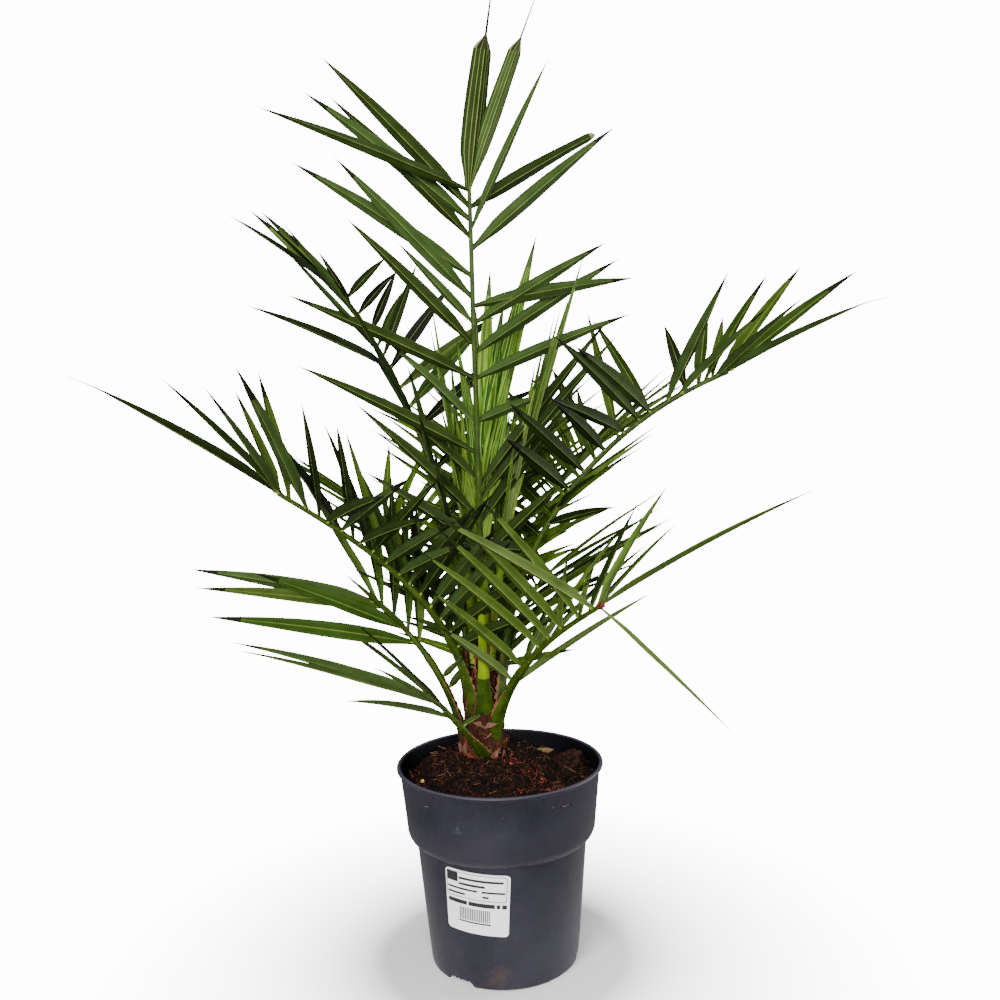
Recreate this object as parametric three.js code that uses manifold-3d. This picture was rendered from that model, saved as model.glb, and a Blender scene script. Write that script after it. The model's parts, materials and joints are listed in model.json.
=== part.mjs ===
// Young date palm in a round nursery pot, 17 cm across.
// Millimetres, +Z up, the origin at the middle of the pot's flat underside, the front towards -Y.
//
// The pot, its soil and the short fibrous stem are solids of revolution. Each frond is one solid:
// a rib that bends along its own line, from a broad foot on the stem to a thin tip, with two ranks
// of leaflets whose roots are sunk into it. The line, the ranks and the leaflets all follow from the
// sizes in FRONDS, and a leaflet that would touch another frond is turned a little or left out.

import * as THREE from "three";
import { mergeVertices } from "three/addons/utils/BufferGeometryUtils.js";
import Module from "manifold-3d";

const wasm = await Module();
wasm.setup();

// ---------------------------------------------------------------- driving dimensions

const GAP = 0.35; // clear gap between neighbouring solids
const SEGMENTS = 40; // facets round the pot and the soil

const POT = { height: 165, wall: 1.3, lip: 85, shoulder: 104, foot: 61.3, floor: 6.4 };
// The pot's outer wall as [height, radius]: a straight cone, a shoulder, and a steeper upper band.
const POT_WALL = [
  [2.6, POT.foot],
  [POT.shoulder, 70.3],
  [109, 75.8],
  [112, 77.6],
  [132, 79.4],
  [160.5, 82.3],
];
const PAD = { radius: 22, slope: 3, rise: 5 }; // the middle of the underside, which rests on the ground
const FOOT_RING = { inner: 56.5, outer: 58.6, slope: 1.5 };
const NOTCH = { count: 3, width: 24, height: 5, deep: 12, turn: -6.5 };
const DRAIN = { count: 8, radius: 4.5, circle: 40, through: 6 };

const LABEL = {
  width: 52, height: 51, corner: 4, thick: 0.5, heading: -108, up: 74, tilt: -3, strips: 14,
};

const SOIL = { top: 149, mound: 158, rings: [68, 56, 44, 31, 17], lumps: 0.8 };
const STEM = { x: -13, y: 42, foot: 158.3, sides: 16 };
// The stem as [height, radius], wider just above the foot and drawn in to the young fronds.
const STEM_PROFILE = [
  [STEM.foot, 13.5],
  [164, 14.5],
  [178, 14],
  [200, 12],
  [225, 9.5],
  [250, 6.5],
  [262, 4.5],
];
const MOUND = { flat: 23, spread: 46 }; // the heap of soil round the stem's foot

const RIB = {
  stations: 9, // sections along a rib
  sides: 5,
  foot: { width: 12, depth: 4.6 }, // half sizes where the rib clasps the stem
  neck: { along: 75, width: 4.4, depth: 3.8 }, // half sizes at the end of that foot, so far along
  tip: { width: 1.7, depth: 1.9 },
  taper: 0.45, // below 1 it thins soon after that foot
};
const LEAFLET = {
  root: { width: 1.1, thick: 1 }, // half width and thickness of its root, which ends inside the rib
  sunk: 0.6, // how far that root goes past the rib's middle
  widest: 0.38, // where along its length it is widest
  thinnest: 1.7, // thickness, at least
  thickness: 0.0115, // and at least this share of its length
};

// Each frond: heading, degrees round from +X, and root, the height and distance from the stem's
// axis where its line starts. The line climbs at rise degrees and bends over to fall degrees,
// soon for a small ease and late for a large one, and drifts sideways over its length.
// Leaflets: pairs along the rib past its bare stretch, blade their greatest length, splay their
// angle from the rib and lift their angle above its plane, each as [low on the rib, at its tip],
// loose the scatter of both in degrees. low and last are the lengths of the lowest and the last
// against blade. own are leaflets with a place of their own, each as
// [share of the rib, splay, lift, length, width], with a negative splay on the rib's other side,
// and until are the shares of the rib past which only they grow: on that other side, and on this.
const FRONDS = [
  {
    name: "frond_front_tall", heading: 273.7, out: 11, root: 172, rise: 79.2, fall: 87.7, ease: 1.2,
    length: 453.7, drift: -3.2, roll: 0, bare: 0.32, pairs: 11, blade: 178, width: 13,
    splay: [55, 20], lift: [32, 26], low: 0.5, last: 0.95, loose: 7, droop: 0.04, seed: 1,
    until: [0.44, 0.41],
    own: [
      [1, -9, 30, 160, 21],
      [1, -22, 25, 172, 15],
      [0.93, -28, 30, 160, 8],
      [0.97, -61, 40, 160, 13],
      [0.9, -52, 30, 180, 14],
      [0.806, -79, 25, 154, 13],
      [0.775, -61, 25, 142, 12],
      [0.725, -61, 30, 166, 13],
      [0.681, -69, 20, 150, 12],
      [0.606, -73, 30, 70, 10],
      [0.487, -43, 25, 186, 12],
      [0.463, -45, 25, 190, 13],
      [1, 65, 0, 175, 11],
      [0.97, 44, 30, 195, 14],
      [0.95, 50, 22, 185, 14],
      [0.92, 44, 25, 175, 13],
      [0.856, 55, 20, 186, 14],
      [0.819, 43, 10, 158, 13],
      [0.775, 45, 30, 98, 9],
      [0.738, 47, 30, 162, 13],
      [0.681, 67, 30, 202, 13],
      [0.6, 53, 40, 118, 11],
      [0.55, 65, 25, 182, 12],
      [0.5, 59, 45, 134, 12],
      [0.431, 51, 30, 150, 12],
    ],
  },
  {
    name: "frond_upper_left", heading: 160, out: 14, root: 206, rise: 93.3, fall: 49, ease: 0.95,
    length: 378.6, drift: -14, roll: 0, bare: 0.38, pairs: 12, blade: 150, width: 13,
    splay: [78, 16], lift: [34, 20], low: 0.6, last: 0.8, loose: 7, droop: 0.05, seed: 2,
    until: [0.94, 0.8],
    own: [
      [1, -81, 20, 162, 12],
      [0.995, -11, -25, 134, 11],
      [0.99, 7, -80, 146, 12],
      [0.97, -49, 25, 94, 12],
      [0.97, 5, 40, 70, 7],
      [0.787, -71, 5, 162, 13],
      [0.995, 57, 10, 106, 9],
      [0.944, 57, 10, 102, 9],
      [0.887, 49, 10, 114, 9],
      [0.85, 51, 0, 126, 9],
      [0.82, 45, 20, 134, 9],
    ],
  },
  {
    name: "frond_left", heading: 205, out: 11, root: 193, rise: 88, fall: 34, ease: 2,
    length: 265, drift: -3, roll: 0, bare: 0.2, pairs: 15, blade: 148, width: 14,
    splay: [76, 16], lift: [36, 28], low: 0.6, last: 0.9, loose: 6, droop: 0.04, seed: 3,
    until: [0.52, 0.83],
    own: [
      [1, 1, 34, 178, 15],
      [0.99, -31, 22, 146, 13],
      [0.995, -41, 26, 130, 11],
      [0.995, 61, 34, 130, 12],
      [0.963, 65, 42, 146, 13],
      [0.9, -39, 42, 146, 13],
      [0.856, 73, 38, 150, 10],
      [0.825, -85, 14, 142, 14],
      [0.775, -83, 22, 146, 12],
      [0.706, -87, 18, 134, 12],
      [0.656, -79, 38, 114, 12],
      [0.6, -81, 22, 134, 12],
      [0.544, -81, 18, 134, 12],
      [0.731, 73, 38, 150, 11],
      [0.613, 57, 42, 142, 11],
    ],
  },
  {
    name: "frond_low_left", heading: 180, out: 19, root: 175, rise: 79.7, fall: 44.8, ease: 1.33,
    length: 139.4, drift: 13.8, roll: 0, bare: 0.25, pairs: 9, blade: 150, width: 13,
    splay: [82, 14], lift: [42, 20], low: 0.5, last: 1, loose: 6, droop: 0.04, seed: 4,
    until: [0, 0.3],
    own: [
      [1, 29, -80, 158, 14],
      [0.956, -33, -65, 158, 13],
      [0.756, -25, -55, 142, 14],
      [0.644, -39, -70, 178, 15],
      [0.7, -7, -30, 82, 9],
      [1, 27, 40, 150, 12],
      [0.963, 51, 45, 138, 12],
      [0.863, 53, 55, 138, 12],
      [0.738, 53, 45, 146, 12],
      [0.631, 45, 55, 134, 12],
    ],
  },
  {
    name: "frond_foot_left", heading: 262.3, out: 12, root: 156.7, rise: 43.5, fall: 53, ease: 0.96,
    length: 82.3, drift: -70, roll: 0, bare: 0.8, pairs: 1, blade: 160, width: 12,
    splay: [40, 15], lift: [0, 0], low: 0.8, last: 0.9, loose: 8, droop: 0.05, seed: 5,
    until: [0, 0],
    own: [
      [0.98, 49, -40, 210, 14],
      [0.95, 45, -45, 190, 9],
      [0.956, 53, -10, 150, 11],
      [0.906, -23, -5, 130, 11],
      [0.85, -35, -15, 126, 8],
      [0.756, 87, -10, 174, 11],
    ],
  },
  {
    name: "frond_low_right", heading: 318, out: 11, root: 171, rise: 77.8, fall: 29.3, ease: 1.78,
    length: 185.8, drift: -8.4, roll: 0, bare: 0.28, pairs: 11, blade: 160, width: 13,
    splay: [84, 30], lift: [32, 24], low: 0.6, last: 1, loose: 6, droop: 0.05, seed: 6,
    until: [0.72, 0.3],
    own: [
      [0.325, 61, 30, 98, 10],
      [0.42, 61, 30, 130, 11],
      [0.575, 67, 34, 150, 12],
      [0.65, 63, 34, 162, 12],
      [0.744, 63, 34, 162, 12],
      [0.863, 63, 38, 154, 12],
      [0.963, 81, 34, 162, 14],
      [1, -11, 14, 194, 13],
      [1, -85, 38, 154, 14],
      [0.944, -97, 38, 158, 12],
      [0.995, -95, 26, 158, 9],
      [0.3, -59, 2, 162, 13],
      [0.738, -109, 42, 146, 10],
      [0.87, -113, 34, 162, 10],
      [1, -97, -46, 158, 6],
    ],
  },
  {
    name: "frond_right", heading: 348, out: 16, root: 203, rise: 89.6, fall: 20.6, ease: 1.01,
    length: 358, drift: 0.6, roll: -6, bare: 0.33, pairs: 12, blade: 140, width: 13,
    splay: [96, 16], lift: [34, 34], low: 0.7, last: 0.95, loose: 6, droop: 0.04, seed: 7,
    until: [0.7, 0.65],
    own: [
      [0.85, 47, 42, 134, 13],
      [0.9, -85, 26, 130, 11],
      [0.88, 29, 38, 102, 12],
      [0.93, -69, 34, 102, 12],
      [0.945, -47, 38, 126, 11],
      [0.963, -71, 26, 98, 9],
      [0.97, 53, 22, 126, 11],
      [0.985, -41, 42, 126, 13],
      [0.995, -25, 38, 142, 14],
      [1, 21, 22, 134, 15],
      [0.806, 93, 35, 146, 14],
      [0.775, 89, 35, 170, 12],
      [0.806, -89, 40, 150, 10],
      [0.731, 95, 30, 138, 13],
      [0.713, -73, 40, 166, 10],
      [0.67, 83, 25, 146, 12],
      [0.5, 65, 0, 140, 10],
      [0.45, 59, -20, 110, 10],
    ],
  },
  {
    name: "frond_back_right", heading: 56, out: 13, root: 200, rise: 80, fall: 24, ease: 1.2,
    length: 295, drift: 0, roll: 0, bare: 0.35, pairs: 14, blade: 145, width: 11,
    splay: [82, 16], lift: [36, 28], low: 0.6, last: 0.9, loose: 7, droop: 0.05, seed: 11,
    until: [1, 1], own: [],
  },
  {
    name: "frond_back", heading: 85, out: 14, root: 188, rise: 80, fall: 22, ease: 1.3,
    length: 320, drift: 0, roll: 0, bare: 0.33, pairs: 14, blade: 145, width: 11,
    splay: [82, 16], lift: [36, 28], low: 0.6, last: 0.9, loose: 7, droop: 0.05, seed: 12,
    until: [1, 1], own: [],
  },
  {
    name: "frond_back_left", heading: 122, out: 15, root: 178, rise: 78, fall: 24, ease: 1.5,
    length: 250, drift: 0, roll: 0, bare: 0.3, pairs: 12, blade: 140, width: 11,
    splay: [82, 16], lift: [36, 28], low: 0.6, last: 0.9, loose: 7, droop: 0.05, seed: 13,
    until: [1, 1], own: [],
  },
  {
    name: "frond_low_back_right", heading: 62, out: 17, root: 172, rise: 78, fall: 20, ease: 1.2,
    length: 175, drift: 0, roll: 0, bare: 0.28, pairs: 9, blade: 140, width: 11,
    splay: [82, 14], lift: [36, 20], low: 0.6, last: 1, loose: 7, droop: 0.05, seed: 14,
    until: [1, 1], own: [],
  },
  {
    name: "young_frond_middle", heading: 60, out: 3, root: 240, rise: 88, fall: 85, ease: 1,
    length: 175, drift: 0, roll: 0, bare: 0.35, pairs: 5, blade: 135, width: 11,
    splay: [14, 4], lift: [10, 5], low: 0.8, last: 0.9, loose: 4, droop: 0, seed: 8,
    until: [0.88, 0.88],
    own: [
      [1, 2, 0, 160, 17],
      [1, 15, 0, 190, 18],
      [0.93, 8, 5, 146, 17],
      [0.97, -5, -8, 135, 12],
      [0.9, 16, 0, 150, 13],
    ],
  },
  {
    name: "young_frond_right", heading: 5, out: 7, root: 232, rise: 86, fall: 72, ease: 1,
    length: 170, drift: 0, roll: 0, bare: 0.4, pairs: 5, blade: 135, width: 12,
    splay: [24, 10], lift: [14, 8], low: 0.8, last: 0.9, loose: 5, droop: 0, seed: 9,
    until: [0.88, 0.88],
    own: [
      [1, 13, 10, 188, 20],
      [1, 30, 10, 160, 18],
      [0.95, 18, 15, 150, 18],
      [0.97, -20, 5, 155, 14],
      [0.9, -16, 10, 145, 13],
    ],
  },
  {
    name: "young_frond_left", heading: 165, out: 6, root: 235, rise: 88, fall: 84, ease: 1,
    length: 160, drift: 0, roll: 0, bare: 0.4, pairs: 5, blade: 105, width: 11,
    splay: [22, 10], lift: [14, 8], low: 0.8, last: 0.9, loose: 5, droop: 0, seed: 10,
    until: [0.88, 0.88],
    own: [
      [1, -16, 10, 130, 12],
      [0.97, 14, 0, 118, 12],
      [1, -4, 10, 150, 11],
    ],
  },
];

// A leaflet that would come too near another frond is tried again with each of these:
// the share of its length, and degrees added to its splay and its lift.
const TRIES = [
  [1, 0, 0], [1, 5, 0], [1, -5, 0], [1, 0, 7], [1, 0, -7], [1, 9, 6], [1, -9, 6],
  [1, 9, -9], [0.85, 0, 0], [0.85, -10, 8], [0.85, 12, -6], [0.7, 0, 0], [0.7, 8, 10], [0.55, 0, 0],
];

// ---------------------------------------------------------------- materials

function finish(color, roughness) {
  return new THREE.MeshStandardMaterial({ color, roughness, metalness: 0 });
}

const DARK_PLASTIC = finish(0x3a3b41, 0.6);
const PAPER = finish(0xf2f2ef, 0.55);
const PEAT = finish(0x3a261b, 0.95);
const FIBRE = finish(0x6b3d26, 0.9);
const GREEN = finish(0x4f6b3a, 0.5);
const YOUNG_GREEN = finish(0x86a54b, 0.45);

// ---------------------------------------------------------------- small helpers

const UP = new THREE.Vector3(0, 0, 1);
const radians = THREE.MathUtils.degToRad;
const mix = THREE.MathUtils.lerp;
const vector = (x, y, z) => new THREE.Vector3(x, y, z);

/** A repeatable number from -1 to 1 for the k-th leaflet of a frond. */
function jitter(seed, k) {
  const wave = Math.sin(seed * 12.9898 + k * 78.233) * 43758.5453;
  return (wave - Math.floor(wave)) * 2 - 1;
}

/** The value at x of a line through [x, value] rows, in order of x. */
function along(rows, x) {
  const next = rows.findIndex(([at]) => at >= x);
  if (next === 0) return rows[0][1];
  if (next < 0) return rows[rows.length - 1][1];
  const [low, high] = [rows[next - 1], rows[next]];
  return mix(low[1], high[1], (x - low[0]) / (high[0] - low[0]));
}

/** A solid from a three.js geometry that closes on itself. */
function solidOf(geometry) {
  const plain = new THREE.BufferGeometry();
  plain.setAttribute("position", geometry.getAttribute("position"));
  plain.setIndex(geometry.getIndex());
  const merged = mergeVertices(plain, 1e-4);
  const index = merged.getIndex().array;
  const triVerts = [];
  for (let i = 0; i < index.length; i += 3) {
    const face = index.slice(i, i + 3);
    if (new Set(face).size === 3) triVerts.push(...face);
  }
  const vertProperties = merged.getAttribute("position").array;
  const mesh = new wasm.Mesh({ numProp: 3, vertProperties, triVerts: new Uint32Array(triVerts) });
  return new wasm.Manifold(mesh);
}

/** A solid skin over closed loops of equal count, turning left as seen from ahead, to an end point. */
function skin(loops, tip = null) {
  const count = loops[0].length;
  const points = loops.flat();
  const faces = [];
  for (let i = 2; i < count; i += 1) faces.push([0, i, i - 1]);
  for (let row = 1; row < loops.length; row += 1) {
    for (let i = 0; i < count; i += 1) {
      const next = (i + 1) % count;
      const low = (row - 1) * count;
      const high = row * count;
      faces.push([low + i, low + next, high + next], [low + i, high + next, high + i]);
    }
  }
  const last = (loops.length - 1) * count;
  if (tip) {
    points.push(tip);
    for (let i = 0; i < count; i += 1) faces.push([last + i, last + ((i + 1) % count), points.length - 1]);
  } else {
    for (let i = 2; i < count; i += 1) faces.push([last, last + i - 1, last + i]);
  }
  const geometry = new THREE.BufferGeometry().setFromPoints(points);
  geometry.setIndex(faces.flat());
  return solidOf(geometry);
}

/** The largest connected piece of a solid, with its sealed hollows filled. */
function largest(body) {
  const pieces = body.decompose();
  return pieces.reduce((best, piece) => (piece.volume() > best.volume() ? piece : best));
}

/** A named mesh of a solid. */
function node(name, body, material) {
  const mesh = body.getMesh();
  const geometry = new THREE.BufferGeometry();
  geometry.setAttribute("position", new THREE.BufferAttribute(new Float32Array(mesh.vertProperties), 3));
  geometry.setIndex(new THREE.BufferAttribute(new Uint32Array(mesh.triVerts), 1));
  geometry.computeVertexNormals();
  const result = new THREE.Mesh(geometry, material);
  result.name = name;
  return result;
}

/** A form turned about Z from [radius, height] corners that start and end on the axis. */
function turned(corners) {
  const profile = corners.map(([radius, height]) => new THREE.Vector2(radius, height));
  return new THREE.LatheGeometry(profile, SEGMENTS).rotateX(Math.PI / 2);
}

// ---------------------------------------------------------------- pot, label and soil

/** The radius of the pot's inner wall at a height. */
const innerWall = (height) => along(POT_WALL, height) - POT.wall;

/** The pot: a thin turned shell with a rolled lip, a ring foot with notches, and drain holes. */
function makePot() {
  const { lip, height, floor, wall } = POT;
  const inner = [...POT_WALL.slice(1).reverse().map(([h]) => h), floor].map((h) => [innerWall(h), h]);
  const shell = turned([
    [0, 0],
    [PAD.radius, 0],
    [PAD.radius + PAD.slope, PAD.rise],
    [FOOT_RING.inner - FOOT_RING.slope, PAD.rise],
    [FOOT_RING.inner, 0],
    [FOOT_RING.outer, 0],
    ...POT_WALL.map(([h, radius]) => [radius, h]),
    [lip - 0.5, height - 3.5],
    [lip, height - 1.8],
    [lip - 0.4, height - 0.3],
    [lip - 1.2, height],
    [lip - 2.8, height],
    [lip - 3.6, height - 1.2],
    ...inner,
    [PAD.radius + PAD.slope - wall, floor],
    [PAD.radius - wall, wall],
    [0, wall],
  ]);
  const cutters = [];
  for (let i = 0; i < NOTCH.count; i += 1) {
    const notch = new THREE.BoxGeometry(NOTCH.deep, NOTCH.width, NOTCH.height * 2);
    notch.translate(POT.foot - 1, 0, 0).rotateZ(radians((i * 360) / NOTCH.count + NOTCH.turn));
    cutters.push(solidOf(notch));
  }
  for (let i = 0; i < DRAIN.count; i += 1) {
    const hole = new THREE.CylinderGeometry(DRAIN.radius, DRAIN.radius, DRAIN.through, 12);
    hole.rotateX(Math.PI / 2).translate(DRAIN.circle, 0, floor - 1);
    cutters.push(solidOf(hole.rotateZ(((i + 0.5) * Math.PI * 2) / DRAIN.count)));
  }
  const pot = cutters.reduce((body, cutter) => body.subtract(cutter), solidOf(shell));
  return node("pot", pot, DARK_PLASTIC);
}

/** The label: a thin plate with round corners, bent round the pot's lower wall. */
function makeLabel() {
  const { width, height, corner, thick, up, strips } = LABEL;
  const [tilt, heading] = [radians(LABEL.tilt), radians(LABEL.heading)];
  const onWall = (x, y, out) => {
    const across = x * Math.cos(tilt) - y * Math.sin(tilt);
    const level = up + x * Math.sin(tilt) + y * Math.cos(tilt);
    const radius = along(POT_WALL, level) + GAP + out;
    const turn = heading + across / along(POT_WALL, up);
    return vector(radius * Math.cos(turn), radius * Math.sin(turn), level);
  };
  const loops = Array.from({ length: strips + 1 }, (_, i) => {
    const x = (-Math.cos((i / strips) * Math.PI) * width) / 2;
    const past = Math.max(0, Math.abs(x) - (width / 2 - corner));
    const half = height / 2 - corner + Math.sqrt(corner ** 2 - past ** 2);
    return [onWall(x, -half, 0), onWall(x, half, 0), onWall(x, half, thick), onWall(x, -half, thick)];
  });
  return node("label", skin(loops), PAPER);
}

/** The height of the soil's top at a place: flat by the wall, heaped round the stem, and lumpy. */
function soilTop(x, y) {
  const away = Math.hypot(x - STEM.x, y - STEM.y);
  const heap = 1 - THREE.MathUtils.smoothstep(away, MOUND.flat, MOUND.flat + MOUND.spread);
  const lump = SOIL.lumps * Math.sin(x * 0.23 + 1.3) * Math.cos(y * 0.19 + x * 0.07);
  return Math.min(SOIL.mound, mix(SOIL.top, SOIL.mound, heap) + lump * (1 - heap));
}

/** The soil: it fills the pot to a little under the lip. */
function makeSoil() {
  const wall = [POT.floor + GAP, ...POT_WALL.slice(1, -1).map(([h]) => h), SOIL.top];
  const side = wall.map((h) => [innerWall(h) - GAP, h]);
  const pit = PAD.radius - POT.wall - GAP;
  const corners = [[0, POT.wall + GAP], [pit, POT.wall + GAP], [pit + PAD.slope, POT.floor + GAP], ...side];
  for (const radius of SOIL.rings) corners.push([radius, SOIL.top]);
  corners.push([0, SOIL.top]);
  const heaped = turned(corners);
  const place = heaped.getAttribute("position");
  for (let i = 0; i < place.count; i += 1) {
    const [x, y] = [place.getX(i), place.getY(i)];
    const inside = Math.hypot(x, y) < SOIL.rings[0] + 1;
    if (inside && Math.abs(place.getZ(i) - SOIL.top) < 0.01) place.setZ(i, soilTop(x, y));
  }
  return solidOf(heaped);
}

// ---------------------------------------------------------------- stem and fronds

/** The stem, made larger all round by a margin. */
function makeStem(margin = 0) {
  const foot = STEM_PROFILE[0][0];
  const top = STEM_PROFILE[STEM_PROFILE.length - 1][0];
  const loops = STEM_PROFILE.map(([height, radius]) => {
    const stretch = height === foot ? -margin : height === top ? margin : 0;
    return Array.from({ length: STEM.sides }, (_, i) => {
      const turn = (i / STEM.sides) * Math.PI * 2;
      const reach = radius + margin;
      return vector(STEM.x + reach * Math.cos(turn), STEM.y + reach * Math.sin(turn), height + stretch);
    });
  });
  return skin(loops);
}

/** A frond's line: at even shares of its length, its point and its along, side and up directions. */
function ribLine(frond) {
  const steps = 40;
  const step = frond.length / steps;
  const start = radians(frond.heading);
  const [x, y] = [STEM.x + frond.out * Math.cos(start), STEM.y + frond.out * Math.sin(start)];
  const point = vector(x, y, frond.root);
  const line = [];
  for (let i = 0; i <= steps; i += 1) {
    const share = i / steps;
    const climb = radians(frond.fall + (frond.rise - frond.fall) * (1 - share) ** frond.ease);
    const turn = radians(frond.heading + frond.drift * share);
    const forward = vector(
      Math.cos(climb) * Math.cos(turn), Math.cos(climb) * Math.sin(turn), Math.sin(climb));
    if (i > 0) {
      const middle = forward.clone().add(line[i - 1].forward).normalize();
      point.addScaledVector(middle, step);
    }
    const side = vector(Math.sin(turn), -Math.cos(turn), 0).applyAxisAngle(forward, -radians(frond.roll));
    const up = side.clone().cross(forward);
    line.push({ point: point.clone(), forward, side, up });
  }
  return line;
}

/** The point and directions at a share of a frond's line. */
function placeOn(line, share) {
  const spot = Math.min(share, 1) * (line.length - 1);
  const low = Math.min(Math.floor(spot), line.length - 2);
  const place = {};
  for (const key of ["point", "forward", "side", "up"]) {
    place[key] = line[low][key].clone().lerp(line[low + 1][key], spot - low);
  }
  return place;
}

/** A frond's rib, made larger all round by a margin. */
function makeRib(frond, margin = 0) {
  const line = ribLine(frond);
  const { foot, neck, tip, taper, sides, stations } = RIB;
  const small = Math.min(1, frond.length / 240 + 0.3);
  const loops = Array.from({ length: stations }, (_, i) => {
    const share = (i / (stations - 1)) ** 1.25;
    const { point, forward, side, up } = placeOn(line, share);
    const reach = share * frond.length;
    const size = (key) => {
      const past = Math.max(0, reach - neck.along) / Math.max(1, frond.length - neck.along);
      const clasp = Math.max(0, 1 - reach / neck.along) ** 1.6;
      return (mix(neck[key], tip[key], past ** taper) + (foot[key] - neck[key]) * clasp) * small + margin;
    };
    const end = i === 0 ? -margin : i === stations - 1 ? margin : 0;
    return Array.from({ length: sides }, (_unused, corner) => {
      const turn = (corner / sides) * Math.PI * 2;
      return point
        .clone()
        .addScaledVector(side, -size("width") * Math.cos(turn))
        .addScaledVector(up, size("depth") * Math.sin(turn))
        .addScaledVector(forward, end);
    });
  });
  return skin(loops);
}

/** The leaflets of a frond as its rule gives them, in order from its foot to its tip. */
function leafletPlan(frond) {
  const spacing = (1 - frond.bare) / frond.pairs;
  const plan = frond.own.map(([share, splay, lift, length, width]) => ({
    share, side: Math.sign(splay), splay: Math.abs(splay), lift, length, width,
  }));
  for (const side of [-1, 1]) {
    for (let i = 0; i < frond.pairs; i += 1) {
      const k = i * 2 + (side > 0 ? 1 : 0);
      const u = Math.min(1, (i + (side > 0 ? 0.9 : 0.6)) / frond.pairs);
      const share = frond.bare + (1 - frond.bare) * u * 0.995;
      const taken = plan.some((leaf) => leaf.own !== false && leaf.side === side
        && Math.abs(leaf.share - share) < spacing / 2);
      if (taken || share > frond.until[side > 0 ? 1 : 0]) continue;
      const growth = Math.sin((Math.PI / 2) * Math.min(1, (u * 0.9 + 0.08) / 0.62));
      const rise = frond.low + (1 - frond.low) * growth;
      const shape = u < 0.6 ? rise : 1 - (1 - frond.last) * ((u - 0.6) / 0.4) ** 1.5;
      plan.push({
        share,
        side,
        splay: mix(frond.splay[1], frond.splay[0], (1 - u) ** 0.35) + frond.loose * jitter(frond.seed, k),
        lift: mix(frond.lift[0], frond.lift[1], u) + frond.loose * jitter(frond.seed + 3.3, k),
        length: frond.blade * shape * (1 + 0.08 * jitter(frond.seed + 7.7, k)),
        width: frond.width,
        own: false,
      });
    }
  }
  return plan.sort((a, b) => a.share - b.share);
}

/** One leaflet: a thin blade with a flat face, a keel below it and a pointed tip. */
function makeLeaflet(line, leaf, droop, [scale, moreSplay, moreLift]) {
  const { point, forward, side, up } = placeOn(line, leaf.share);
  const splay = radians(leaf.splay + moreSplay);
  const lift = radians(leaf.lift + moreLift);
  const outward = side.clone().multiplyScalar(Math.cos(lift) * leaf.side).addScaledVector(up, Math.sin(lift));
  const way = forward
    .clone()
    .multiplyScalar(Math.cos(splay))
    .addScaledVector(outward, Math.sin(splay))
    .normalize();
  const length = leaf.length * scale;
  const thick = Math.max(LEAFLET.thinnest, length * LEAFLET.thickness);
  const across = outward
    .multiplyScalar(Math.cos(splay) * leaf.side)
    .addScaledVector(forward, -Math.sin(splay) * leaf.side)
    .normalize();
  const face = across.clone().cross(way);
  const sag = droop * length * Math.sqrt(Math.max(0.05, 1 - way.z ** 2));
  const spot = (share) => point.clone().addScaledVector(way, share * length)
    .addScaledVector(UP, -sag * Math.max(0, share) ** 2.2);
  const section = (share, halfWidth, keel) => {
    const middle = spot(share);
    return [
      middle.clone().addScaledVector(face, -keel),
      middle.clone().addScaledVector(across, -halfWidth),
      middle.clone().addScaledVector(across, halfWidth),
    ];
  };
  const root = section(-LEAFLET.sunk / length, LEAFLET.root.width, LEAFLET.root.thick);
  return skin([root, section(LEAFLET.widest, leaf.width / 2, thick)], spot(1));
}

/** Whether a solid comes nearer than the gap to any of some others. */
function tooNear(body, others) {
  const box = body.boundingBox();
  return others.some(({ solid: other, box: its }) => {
    const apart = [0, 1, 2].some((i) => box.min[i] > its.max[i] + GAP || its.min[i] > box.max[i] + GAP);
    return !apart && body.minGap(other, GAP) < GAP - 0.03;
  });
}

const boxed = (body, owner) => ({ solid: body, box: body.boundingBox(), owner });

/** Every frond as one solid: all ribs first, each cut clear of those before it, then the leaflets. */
function makeFronds(stem, soil, pot) {
  const standing = [boxed(stem, "stem"), boxed(soil, "soil"), boxed(pot, "pot")];
  const clearing = [makeStem(GAP), soil.translate([0, 0, GAP])];
  const ribs = new Map();
  for (const frond of FRONDS) {
    let rib = makeRib(frond);
    for (const cutter of clearing) rib = rib.subtract(cutter);
    rib = largest(rib);
    clearing.push(makeRib(frond, GAP));
    ribs.set(frond.name, rib);
    standing.push(boxed(rib, frond.name));
  }
  return FRONDS.map((frond) => {
    const line = ribLine(frond);
    const leaves = [];
    for (const leaf of leafletPlan(frond)) {
      const others = standing.filter(({ owner }) => owner !== frond.name);
      for (const turn of TRIES) {
        const blade = makeLeaflet(line, leaf, frond.droop, turn);
        if (tooNear(blade, others)) continue;
        leaves.push(blade);
        standing.push(boxed(blade, frond.name));
        break;
      }
    }
    const whole = largest(wasm.Manifold.union([ribs.get(frond.name), ...leaves]));
    const material = frond.name.startsWith("young") ? YOUNG_GREEN : GREEN;
    return node(frond.name, whole, material);
  });
}

// ---------------------------------------------------------------- the whole plant

const palm = new THREE.Group();
palm.name = "date_palm_in_pot";
const soil = makeSoil();
const stem = makeStem();
const pot = makePot();
palm.add(pot, makeLabel(), node("soil", soil, PEAT), node("stem", stem, FIBRE));
palm.add(...makeFronds(stem, soil, solidOf(pot.geometry)));

export default palm;
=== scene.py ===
"""A young date palm in a round nursery pot: the looks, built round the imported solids.

The plant, its soil, its pot and its label are built in millimetres, +Z up, with the origin at the
middle of the pot's flat underside, and are put into Blender in metres. Each frond grows by the same
rule and from the same sizes as its solid: a rib along a bending line, and two ranks of leaflets.
"""
import json
import logging
import math
from dataclasses import dataclass, replace
from enum import Enum, IntEnum
from functools import lru_cache, partial
from typing import Any, Optional, Sequence

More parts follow.
